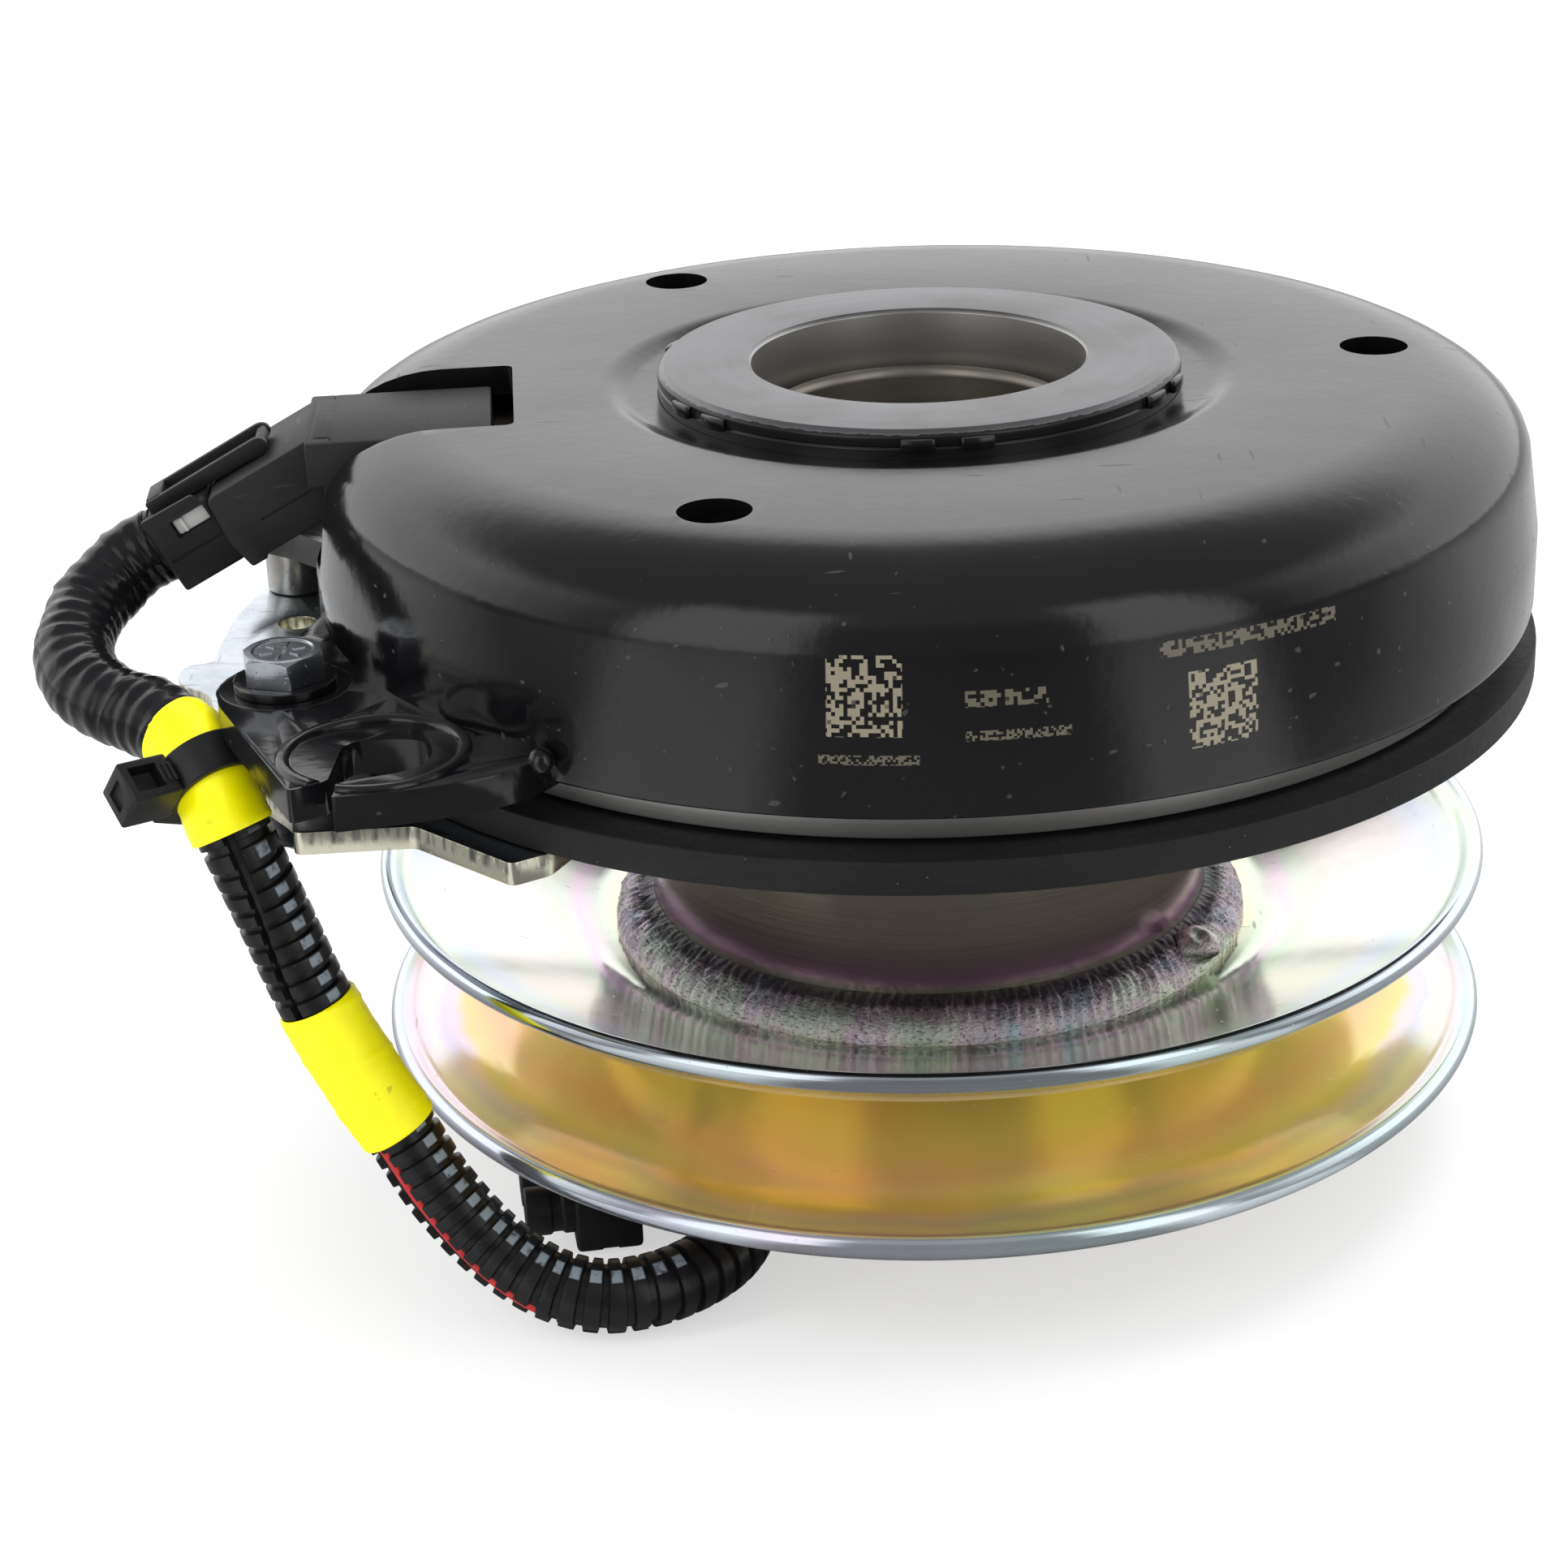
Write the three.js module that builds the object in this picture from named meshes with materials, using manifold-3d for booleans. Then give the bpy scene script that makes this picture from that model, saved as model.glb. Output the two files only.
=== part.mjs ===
// Electromagnetic clutch and brake for an engine shaft, pulley end down.
// Millimetres, +Z up along the shaft, origin where the shaft line meets the resting face.
import * as THREE from "three";
import { mergeVertices } from "three/addons/utils/BufferGeometryUtils.js";
import Module from "manifold-3d";

const wasm = await Module();
wasm.setup();

// Overall sizes
const HEIGHT = 130;
const SHELL_R = 95.3;
const SHELL_TOP = 127.2;
const SHELL_LIP = 92.9;
const SHELL_WALL = 4.6;
const CARRIER_R = 40.6;
const CARRIER_BORE_R = 26;
const SHAFT_R = 14.29;
const ARMATURE_R = 96.06;
const ARMATURE_Z = [82.1, 87.2];
const ROTOR_R = 89.6;
const ROTOR_FACE = 87.75;
const RIM_R = 89.9;
const LOWER_RIM_R = 90.3;
const HUB_R = 45.4;
const WEB_TOP = 36;
const SHEET = 3.2;
const EAR_Z = [92.3, 97.3];
const BRAKE_Z = [78.4, 81.95];
const NOTCH_AZ = 184;
const NOTCH_HALF = 16.2;
const BEND_S = 94.2;
const BEND_Z = 125;
const DROP = 28;
const BOLT_1 = [-95.3, -48];
const BOLT_2 = [-105.2, 38.5];
const LOOM_R = 5.6;
const BALLS = 6;

// Colours
const PAINT = [0x17181a, 0.1, 0.25];
const STEEL = [0x9a9c9e, 0.9, 0.35];
const RAW = [0x3c3d3f, 0.8, 0.5];
const ZINC = [0xe6dfc8, 0.9, 0.2];
const PLASTIC = [0x1b1c1e, 0.0, 0.5];
const COPPER = [0xb46a3c, 0.9, 0.35];
const MAGNET = [0x2e2b2a, 0.2, 0.7];

const rad = (a) => (a * Math.PI) / 180;

function toSolid(geometry) {
  const g = geometry.clone();
  g.deleteAttribute("normal");
  g.deleteAttribute("uv");
  const m = mergeVertices(g, 1e-5);
  const triVerts = new Uint32Array(m.index.array);
  const vertProperties = new Float32Array(m.attributes.position.array);
  return new wasm.Manifold(new wasm.Mesh({ numProp: 3, vertProperties, triVerts }));
}

function toGeometry(solid) {
  const mesh = solid.getMesh();
  const g = new THREE.BufferGeometry();
  g.setAttribute("position", new THREE.BufferAttribute(new Float32Array(mesh.vertProperties), 3));
  g.setIndex(new THREE.BufferAttribute(new Uint32Array(mesh.triVerts), 1));
  g.computeVertexNormals();
  return g;
}

function cut(geometry, tools) {
  let s = toSolid(geometry);
  for (const t of tools) s = s.subtract(toSolid(t));
  return toGeometry(s);
}

function join(geometries) {
  let s = toSolid(geometries[0]);
  for (const g of geometries.slice(1)) s = s.add(toSolid(g));
  return toGeometry(s);
}

// Turned shape from a closed [radius, height] outline, counter-clockwise
function turned(outline, segments = 24) {
  const pts = outline.map(([r, z]) => new THREE.Vector2(r, z));
  if (outline[0][0] > 0.001) pts.push(pts[0].clone());
  const g = new THREE.LatheGeometry(pts, segments);
  g.rotateX(Math.PI / 2);
  return g;
}

// Plain ring or tube with square edges
function ring(r0, r1, z0, z1, segments = 24) {
  return turned([[r0, z0], [r1, z0], [r1, z1], [r0, z1]], segments);
}

// Straight round rod along Z
function rod(x, y, r, z0, z1, segments = 12) {
  const g = new THREE.CylinderGeometry(r, r, z1 - z0, segments);
  g.rotateX(Math.PI / 2);
  g.translate(x, y, (z0 + z1) / 2);
  return g;
}

// Flat plate from a plan outline
function plate(points, z0, z1) {
  const shape = new THREE.Shape(points.map(([x, y]) => new THREE.Vector2(x, y)));
  const g = new THREE.ExtrudeGeometry(shape, { depth: z1 - z0, bevelEnabled: false });
  g.translate(0, 0, z0);
  return g;
}

function block(x0, x1, y0, y1, z0, z1) {
  const g = new THREE.BoxGeometry(x1 - x0, y1 - y0, z1 - z0);
  g.translate((x0 + x1) / 2, (y0 + y1) / 2, (z0 + z1) / 2);
  return g;
}

// Turns something drawn along +X so that it points at the notch
function toNotch(g) {
  g.rotateZ(rad(NOTCH_AZ));
  return g;
}

function arc(r, a0, a1, steps) {
  const out = [];
  for (let i = 0; i <= steps; i++) {
    const a = rad(a0 + ((a1 - a0) * i) / steps);
    out.push([r * Math.cos(a), r * Math.sin(a)]);
  }
  return out;
}

function node(name, geometry, [color, metalness, roughness]) {
  const m = new THREE.MeshStandardMaterial({ color, metalness, roughness });
  const mesh = new THREE.Mesh(geometry, m);
  mesh.name = name;
  return mesh;
}

// Field: painted cup that stays still, with two ears, a notch and three holes
const EAR_FRONT = [
  [-86, -4], [-93.6, -19.2], [-96, -28], [-100, -37], [-105.5, -45.2], [-104.6, -54],
  [-90.2, -87.1], [-85.2, -84], [-84.6, -72.5], [-83.2, -70.4], [-75.5, -70], [-72.2, -72],
  [-71.5, -76], [-72.5, -80], [-75.5, -82], [-83.6, -84.8], [-84.1, -90.4], [-70, -88],
  [-57.4, -84], [-50.5, -81], [-42, -76], [-62, -62],
];
const EAR_BACK = [
  [-88, 8], [-95.5, 14], [-104, 23], [-112.5, 29], [-115.5, 38], [-112, 47],
  [-103, 51], [-93, 52], [-84, 56], [-76, 62], [-66, 66], [-70, 40],
];

function fieldShell() {
  const w = SHELL_WALL;
  const outside = [[CARRIER_R + 0.1, 125.5], [45.5, 125.8], [48.5, SHELL_TOP]];
  const inside = [];
  for (let i = 0; i <= 5; i++) {
    const a = rad(i * 18);
    outside.push([75.9 + 18 * Math.sin(a), SHELL_TOP - 12 + 12 * Math.cos(a)]);
    inside.push([75.9 + (18 - w) * Math.sin(a), SHELL_TOP - 12 + (12 - w) * Math.cos(a)]);
  }
  outside.push([SHELL_R, SHELL_LIP + 1.5], [SHELL_R - 0.5, SHELL_LIP]);
  inside.push([SHELL_R - w, SHELL_LIP]);
  const outline = [[CARRIER_R + 0.1, SHELL_TOP - w - 0.8], [50, SHELL_TOP - w], ...inside,
    ...outside.reverse()];
  const cup = turned(outline, 40);
  const bore = rod(0, 0, SHELL_R - w + 0.2, 80, SHELL_TOP - 14, 40);
  const ears = [EAR_FRONT, EAR_BACK].map((e) => cut(plate(e, ...EAR_Z), [bore]));
  const notch = toNotch(block(63, 120, -NOTCH_HALF, NOTCH_HALF, EAR_Z[1] + 5, 140));
  const tools = [notch];
  for (const a of [122.5, 3.5, -116]) {
    tools.push(rod(71.8 * Math.cos(rad(a)), 71.8 * Math.sin(rad(a)), 5.3, 110, 140, 16));
  }
  tools.push(rod(...BOLT_1, 3.4, 90, 100), rod(...BOLT_2, 3.4, 90, 100));
  return cut(join([cup, ...ears]), tools);
}

// Inner pole: turned steel tube staked into the cup, holding the field bearing
function bearingCarrier() {
  return turned([
    [36.1, 95], [CARRIER_R, 95], [CARRIER_R, 129], [39.6, HEIGHT], [26.8, HEIGHT],
    [CARRIER_BORE_R, 129.2], [CARRIER_BORE_R, 117], [33, 117], [33, 113.7], [36.1, 113.7],
  ], 40);
}

function coilConnector() {
  const bar = block(66.5, BEND_S, -13, 13, 118, BEND_Z);
  const neck = block(83.6, 92.5, -12, 12, 110.5, 118.5);
  const housing = block(-1, 18.3, -10.5, 10.5, -12.4, 0);
  const socket = block(9.5, 30, -7.9, 7.9, -11, -1.6);
  const shaped = cut(housing, [socket]);
  shaped.rotateY(rad(DROP));
  shaped.translate(BEND_S, 0, BEND_Z);
  return toNotch(join([bar, neck, shaped]));
}

// The plug body sits in the housing's socket; its pawl rests over the housing
function plugPart(g) {
  g.rotateY(rad(DROP));
  g.translate(BEND_S, 0, BEND_Z);
  return toNotch(g);
}

function harnessPlug() {
  const nose = block(10.5, 19.3, -7.5, 7.5, -10.6, -2);
  const body = block(18.7, 29.5, -9, 9, -11.2, 0.2);
  const guards = [-8.4, 8.4].map((y) => block(18.7, 29.5, y - 0.6, y + 0.6, 0, 1.6));
  return plugPart(join([nose, body, ...guards]));
}

function plugLatch() {
  return plugPart(block(7.2, 28.2, -4.5, 4.5, 0.3, 2.9));
}

function terminal(y) {
  return toNotch(block(84, 94, y - 0.5, y + 0.5, 104, 104.8));
}

// Bearings
function race(r0, r1, z0, z1, groove, ballR, ballC) {
  const zc = (z0 + z1) / 2;
  const ballTool = new THREE.TorusGeometry(ballC, ballR, 8, 24);
  ballTool.translate(0, 0, zc);
  return groove ? cut(ring(r0, r1, z0, z1, 24), [ballTool]) : ring(r0, r1, z0, z1, 24);
}

function ball(i, r, c, z) {
  const g = new THREE.SphereGeometry(r, 8, 5);
  const a = rad((360 / BALLS) * i);
  g.translate(c * Math.cos(a), c * Math.sin(a), z);
  return g;
}

// Brake plate with its thumb tab, under the armature edge on the ear side
const BRAKE_OUTLINE = [
  [-93.6, -66.5], [-76.3, -65.6], [-61.6, -79.8], [-56.3, -76.6], [-50, -64],
  [-61.5, -50.5], [-71, -35], [-77.6, -18], [-79.6, 0], [-77.6, 18], [-71, 35], [-61.5, 50.5],
  [-55, 66], [-68, 73], [-84, 66], [-98, 57], [-107, 48.5], [-110.6, 41.5],
  [-114.3, 24], [-115, 10], [-115, 3.4], [-119.2, 2.2], [-120, -2], [-118.6, -6.6],
  [-113.4, -11], [-112.4, -15.5], [-109, -29], [-103.6, -41], [-101.5, -48.5], [-94.5, -58.5],
];

function brakePlate() {
  const holes = [rod(-103.4, 20.4, 3.1, 70, 90), rod(...BOLT_1, 3.4, 70, 90)];
  holes.push(rod(...BOLT_2, 3.4, 70, 90));
  for (const a of [148, 180, -152]) {
    holes.push(rod(86 * Math.cos(rad(a)), 86 * Math.sin(rad(a)), 5.6, 70, 90, 12));
  }
  return cut(plate(BRAKE_OUTLINE, ...BRAKE_Z), holes);
}

function brakeBolt([x, y]) {
  const head = new THREE.CylinderGeometry(6.41, 6.41, 4.2, 6);
  head.rotateX(Math.PI / 2);
  head.rotateZ(rad(12));
  head.translate(x, y, 100.9);
  return join([head, rod(x, y, 3.1, 72.2, 99, 16)]);
}

function tube(x, y, r0, r1, z0, z1, segments = 14) {
  const g = ring(r0, r1, z0, z1, segments);
  g.translate(x, y, 0);
  return g;
}

function brakeNut([x, y]) {
  const body = new THREE.CylinderGeometry(6.35, 6.35, 4.4, 6);
  body.rotateX(Math.PI / 2);
  body.translate(x, y, 76.1);
  return cut(body, [rod(x, y, 3.15, 70, 80, 16)]);
}

// Rotor: keyed hub, friction disc with flux slots, two pole rims
function rotor() {
  const profile = turned([
    [SHAFT_R, 64.2], [21, 64.2], [21, 78], [30, ROTOR_FACE], [ROTOR_R, ROTOR_FACE],
    [ROTOR_R, 101], [84.5, 101], [84.5, 93.5], [47, 93.5], [47, 99.5], [41.6, 99.5],
    [41.6, 93.2], [29.5, 93.2], [27.5, 101.5], [25, 101.5], [25, 120.6], [24.2, 121.4],
    [22.2, 120.8], [22.2, 110.2], [SHAFT_R, 110.2],
  ], 40);
  const tools = [block(0, 17.2, -3.2, 3.2, 50, 115)];
  for (let k = 0; k < 6; k++) {
    const outer = arc(66.8, 60 * k - 22, 60 * k + 22, 3);
    const inner = arc(63.2, 60 * k + 22, 60 * k - 22, 3);
    tools.push(plate([...outer, ...inner], 80, 96));
  }
  return cut(profile, tools);
}

function sleeve(r1, z0, z1) {
  return cut(ring(SHAFT_R, r1, z0, z1, 24), [block(0, 17.2, -3.2, 3.2, z0 - 1, z1 + 1)]);
}

// Hub collar: the stepped sleeve under the inner race, and the face the clutch rests on
function hubCollar() {
  const body = turned([
    [SHAFT_R, 0], [23, 0], [24, 1], [24, 43.6], [17.4, 43.6], [17.4, 64], [SHAFT_R, 64],
  ], 40);
  return cut(body, [block(0, 17.2, -3.2, 3.2, -1, 70)]);
}

// Pulley: turned hub, two pressed sheave halves and the weld bead that holds them
function pulleyHub() {
  const hub = turned([
    [31.1, 29.6], [HUB_R, 29.6], [HUB_R, 78.2], [44.6, 79], [29, 79], [27, 77], [27, 64.2],
    [31.1, 64.2],
    [31.1, 42.4], [32.6, 42.4], [32.6, 40.6], [31.1, 40.6],
  ], 40);
  const tools = [0, 120, 240].map((a) => rod(39 * Math.cos(rad(a)), 39 * Math.sin(rad(a)), 2.7, 71.8, 90));
  return cut(hub, tools);
}

function upperSheave() {
  const t = SHEET;
  return turned([
    [HUB_R + 0.05, WEB_TOP - t], [56.6, WEB_TOP - t], [86.6, 45.4], [88.4, 47.6], [89.6, 48.3],
    [RIM_R, 49.6], [89.4, 51], [88.2, 51.3], [86.2, 48.8], [55.6, WEB_TOP],
    [HUB_R + 0.05, WEB_TOP],
  ], 40);
}

function lowerSheave() {
  const t = SHEET;
  const top = WEB_TOP - t - 0.05;
  return turned([
    [HUB_R + 0.05, top - t], [56, top - t], [77.4, 20.2], [86.6, 19.9], [89.4, 21.3],
    [LOWER_RIM_R, 22.6], [89.8, 24.4], [88.6, 25], [86.4, 23.2], [78, 23.4], [56.8, top],
    [HUB_R + 0.05, top],
  ], 40);
}

function weldBead() {
  return turned([
    [HUB_R + 0.05, WEB_TOP + 0.05], [51.6, WEB_TOP + 0.05], [51, 38.4], [48.6, 40.2],
    [HUB_R + 0.05, 41.4],
  ], 40);
}

// Flat leaf spring from a hub rivet to an armature rivet, 60 degrees on
function leafSpring(k) {
  const a = 120 * k;
  const p = [39 * Math.cos(rad(a)), 39 * Math.sin(rad(a))];
  const q = [60 * Math.cos(rad(a + 62)), 60 * Math.sin(rad(a + 62))];
  const d = Math.atan2(q[1] - p[1], q[0] - p[0]);
  const pts = [];
  for (let i = 0; i <= 6; i++) {
    const t = d + Math.PI / 2 + (Math.PI * i) / 6;
    pts.push([p[0] + 5.5 * Math.cos(t), p[1] + 5.5 * Math.sin(t)]);
  }
  for (let i = 0; i <= 6; i++) {
    const t = d - Math.PI / 2 + (Math.PI * i) / 6;
    pts.push([q[0] + 5.5 * Math.cos(t), q[1] + 5.5 * Math.sin(t)]);
  }
  const strip = plate(pts, 79.1, 79.9);
  return cut(strip, [rod(...p, 2.7, 70, 90), rod(...q, 3.2, 70, 90)]);
}

// Headed rivet on a plan circle; the head is at the z1 end or below z0
function rivet(r, a, shaft, z0, z1, headR, h0, h1) {
  const x = r * Math.cos(rad(a));
  const y = r * Math.sin(rad(a));
  return join([rod(x, y, shaft, z0, z1, 12), rod(x, y, headR, h0, h1, 16)]);
}

function armatureDisc() {
  const disc = turned([
    [34, ARMATURE_Z[0]], [ARMATURE_R - 0.4, ARMATURE_Z[0]], [ARMATURE_R, ARMATURE_Z[0] + 0.4],
    [ARMATURE_R, ARMATURE_Z[1] - 0.4], [ARMATURE_R - 0.4, ARMATURE_Z[1]], [34, ARMATURE_Z[1]],
  ], 40);
  const tools = [];
  for (let k = 0; k < 3; k++) {
    const a = rad(120 * k + 62);
    tools.push(rod(60 * Math.cos(a), 60 * Math.sin(a), 2.7, 70, 90, 16));
    const b = rad(120 * k);
    tools.push(rod(39 * Math.cos(b), 39 * Math.sin(b), 5.8, 70, 90, 16));
    const outer = arc(70, 120 * k + 80, 120 * k + 150, 4);
    const inner = arc(66, 120 * k + 150, 120 * k + 80, 4);
    tools.push(plate([...outer, ...inner], 70, 95));
  }
  return cut(disc, tools);
}

// Harness: corrugated tube from the plug, down past the ear, under the pulley rim
const LOOM = [
  [-118.1, -8.25, 106.85], [-121.2, -8.5, 105.3], [-125.4, -10.4, 102.6],
  [-129.3, -15.6, 99.1], [-130.7, -24, 96],
  [-128.7, -32.2, 93.7], [-123.4, -38.2, 92], [-116.2, -43.4, 91], [-111.3, -47.9, 89.6],
  [-106.9, -53.4, 85.7], [-103.5, -58.2, 79.4], [-98.8, -59, 66], [-93.4, -60, 51],
  [-87, -61.1, 38], [-82.2, -61.6, 29.5], [-77.3, -63.6, 21.3], [-69.3, -66.9, 12.6],
  [-61.4, -69.8, 7.9], [-53.7, -71, 6.1], [-46.6, -69.5, 5.8], [-40, -65.4, 5.8],
  [-34.8, -59, 5.8], [-32.7, -51.2, 5.8], [-35.1, -43.6, 5.8], [-41.2, -38.9, 5.9],
  [-48, -38.9, 6.2],
];

function loomCurve() {
  const pts = LOOM.map(([x, y, z]) => new THREE.Vector3(x, y, z));
  return new THREE.CatmullRomCurve3(pts, false, "centripetal");
}

function harnessLoom() {
  const section = new THREE.Shape();
  for (let i = 0; i < 8; i++) {
    const a = rad(45 * i);
    if (i === 0) section.moveTo(LOOM_R, 0);
    else section.lineTo(LOOM_R * Math.cos(a), LOOM_R * Math.sin(a));
  }
  section.closePath();
  const options = { steps: 40, extrudePath: loomCurve(), bevelEnabled: false };
  return new THREE.ExtrudeGeometry(section, options);
}

const TIE_AT = 0.295;

function cableTie() {
  const band = ring(LOOM_R + 0.6, LOOM_R + 1.7, -3.1, 3.1, 24);
  const head = block(-15, -LOOM_R - 1, -3.6, 3.6, -3.4, 3.4);
  const slot = block(-13.8, -9.2, -2, 2, 1.4, 9);
  const g = join([band, cut(head, [slot])]);
  const curve = loomCurve();
  const z = curve.getTangentAt(TIE_AT);
  const x = new THREE.Vector3(0.76, 0.63, -0.1);
  x.addScaledVector(z, -x.dot(z)).normalize();
  const y = new THREE.Vector3().crossVectors(z, x);
  g.applyMatrix4(new THREE.Matrix4().makeBasis(x, y, z).setPosition(curve.getPointAt(TIE_AT)));
  const clear = EAR_FRONT.map(([px, py]) => [px * 1.006 - 0.4, py * 1.006 - 0.2]);
  const below = BRAKE_OUTLINE.map(([px, py]) => [px * 1.004, py * 1.004]);
  const tools = [plate(clear, EAR_Z[0] - 9, EAR_Z[1] + 0.4), plate(below, 78, 82.3)];
  tools.push(rod(...BOLT_1, 5.8, 78, 96, 24));
  return cut(g, tools);
}

function farConnector() {
  const body = block(0.5, 11, -9, 9, -6, 6);
  const parts = [body];
  for (const y of [-4.6, 4.6]) {
    const tower = rod(y, 0, 3.9, 10, 19, 16);
    tower.rotateY(rad(90));
    tower.rotateX(rad(90));
    parts.push(tower);
  }
  const g = join(parts);
  g.rotateZ(rad(188));
  g.translate(-48.8, -39.1, 6.4);
  return g;
}

// Assembly
const assembly = new THREE.Group();
assembly.name = "clutch";
const field = new THREE.Group();
field.name = "field";
const turning = new THREE.Group();
turning.name = "rotor";
const pulley = new THREE.Group();
pulley.name = "pulley";
const armature = new THREE.Group();
armature.name = "armature";
assembly.add(field, turning, pulley, armature);

field.add(node("field_shell", fieldShell(), PAINT));
field.add(node("bearing_carrier", bearingCarrier(), STEEL));
field.add(node("coil_bobbin", turned([
  [42, 102], [81, 102], [81, 103.5], [43.6, 103.5], [43.6, 116], [81, 116], [81, 117.5],
  [42, 117.5],
], 24), PLASTIC));
field.add(node("coil_winding", ring(43.8, 77, 103.7, 115.8, 24), COPPER));

const BEARING_A = [101.6, 113.6];
const BEARING_B = [44, 64];
field.add(node("coil_connector", coilConnector(), PLASTIC));
field.add(node("coil_terminal_1", terminal(-3), COPPER));
field.add(node("coil_terminal_2", terminal(3), COPPER));
field.add(node("field_bearing_outer", race(32.6, 35.9, ...BEARING_A, true, 3.2, 30.5), STEEL));
field.add(node("field_bearing_seal_lower", ring(28.7, 32.3, 101.7, 102.4), PLASTIC));
field.add(node("field_bearing_seal_upper", ring(28.7, 32.3, 112.8, 113.5), PLASTIC));
field.add(node("brake_plate", brakePlate(), ZINC));
[148, 180, -152].forEach((a, i) => {
  const m = rod(86 * Math.cos(rad(a)), 86 * Math.sin(rad(a)), 5.5, 78.5, 81.9, 12);
  field.add(node(`brake_magnet_${i + 1}`, m, MAGNET));
});
[BOLT_1, BOLT_2].forEach((p, i) => {
  field.add(node(`brake_bolt_${i + 1}`, brakeBolt(p), STEEL));
  field.add(node(`brake_washer_${i + 1}`, tube(...p, 3.3, 7.6, 97.35, 98.75), PAINT));
  field.add(node(`brake_spacer_${i + 1}`, tube(...p, 3.3, 5.3, 82, 92.25), STEEL));
  field.add(node(`brake_nut_${i + 1}`, brakeNut(p), STEEL));
});
field.add(node("harness_plug", harnessPlug(), PLASTIC));
field.add(node("plug_latch", plugLatch(), PLASTIC));
field.add(node("harness_loom", harnessLoom(), PLASTIC));
field.add(node("cable_tie", cableTie(), PLASTIC));
field.add(node("far_connector", farConnector(), PLASTIC));

turning.add(node("rotor_disc", rotor(), RAW));
turning.add(node("field_bearing_inner", race(25.4, 28.4, ...BEARING_A, true, 3.2, 30.5), STEEL));
turning.add(node("pulley_bearing_inner", race(17.75, 21.2, ...BEARING_B, true, 4.6, 24.2), STEEL));
turning.add(node("hub_collar", hubCollar(), RAW));
for (let i = 0; i < BALLS; i++) {
  turning.add(node(`field_ball_${i + 1}`, ball(i, 2.6, 30.5, 107.6), STEEL));
  turning.add(node(`pulley_ball_${i + 1}`, ball(i, 3.9, 24.2, 54), STEEL));
}

pulley.add(node("pulley_hub", pulleyHub(), STEEL));
pulley.add(node("upper_sheave", upperSheave(), ZINC));
pulley.add(node("lower_sheave", lowerSheave(), ZINC));
pulley.add(node("weld_bead", weldBead(), STEEL));
pulley.add(node("pulley_bearing_outer", race(27.2, 30.9, ...BEARING_B, true, 4.6, 24.2), STEEL));
pulley.add(node("pulley_bearing_seal", ring(21.5, 26.9, 44.1, 44.8), PLASTIC));
const snap = cut(ring(28.6, 32.4, 40.8, 42.2), [block(0, 40, -4, 4, 40, 43)]);
pulley.add(node("pulley_snap_ring", snap, STEEL));
for (let k = 0; k < 3; k++) {
  pulley.add(node(`leaf_spring_${k + 1}`, leafSpring(k), STEEL));
  const hubRivet = rivet(39, 120 * k, 2.6, 72, 80.2, 4.4, 80, 81.6);
  pulley.add(node(`hub_rivet_${k + 1}`, hubRivet, STEEL));
}

armature.add(node("armature_disc", armatureDisc(), RAW));
for (let k = 0; k < 3; k++) {
  const r = rivet(60, 120 * k + 62, 2.6, 78, 87, 4.2, 77, 78.4);
  armature.add(node(`armature_rivet_${k + 1}`, r, STEEL));
}

export default assembly;
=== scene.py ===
# %% [markdown]
# # An electromagnetic clutch and brake, built around a fixed frame
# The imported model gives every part's size and place. It is loaded first and
# never changed. New pieces are then made around it and ride on its bodies.

# %% Load the frame
import math
import random

import bmesh
import bpy
from mathutils import Matrix, Vector, noise


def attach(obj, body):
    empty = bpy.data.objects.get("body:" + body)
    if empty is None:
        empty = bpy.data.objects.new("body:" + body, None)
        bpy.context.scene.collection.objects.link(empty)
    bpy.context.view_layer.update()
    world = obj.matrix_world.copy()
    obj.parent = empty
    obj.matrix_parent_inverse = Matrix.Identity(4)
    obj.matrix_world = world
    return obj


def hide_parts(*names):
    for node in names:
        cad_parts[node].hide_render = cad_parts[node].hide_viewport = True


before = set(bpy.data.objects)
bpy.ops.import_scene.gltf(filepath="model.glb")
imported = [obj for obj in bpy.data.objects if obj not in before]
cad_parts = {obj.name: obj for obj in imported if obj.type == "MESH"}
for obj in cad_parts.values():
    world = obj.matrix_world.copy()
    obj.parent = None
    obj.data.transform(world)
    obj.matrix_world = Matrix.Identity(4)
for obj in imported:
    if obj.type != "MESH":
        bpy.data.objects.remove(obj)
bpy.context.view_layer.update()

MM = 0.001

# %% [markdown]
# ## The camera
# A long lens a little above the object keeps the rims as calm ellipses. The
# camera is placed by its own three axes, so that its small roll is kept.

# %% Place the camera
camera_data = bpy.data.cameras.new("camera")
camera_data.lens = 75.2
camera_data.sensor_width = 36
camera_data.clip_start = 0.01
camera_data.clip_end = 50
camera = bpy.data.objects.new("camera", camera_data)
bpy.context.scene.collection.objects.link(camera)
CAMERA_RIGHT = Vector((0.99928, -0.01498, -0.03477))
CAMERA_UP = Vector((0.03786, 0.3954, 0.9177))
CAMERA_BACK = CAMERA_RIGHT.cross(CAMERA_UP)
axes = Matrix((CAMERA_RIGHT, CAMERA_UP, CAMERA_BACK)).transposed().to_4x4()
camera.matrix_world = Matrix.Translation((-0.02333, -0.49314, 0.27055)) @ axes
bpy.context.scene.camera = camera
bpy.context.scene.view_settings.view_transform = "Standard"
print("camera at", tuple(round(v, 3) for v in camera.location))

# %% [markdown]
# ## Writing a finish as sums
# A finish is a web of small nodes, which is slow to read. Here a socket is
# wrapped in a class, so that plus, minus and times add the Math nodes, and one
# method adds any other node. Colours go through Mix, since Math turns them grey.

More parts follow.
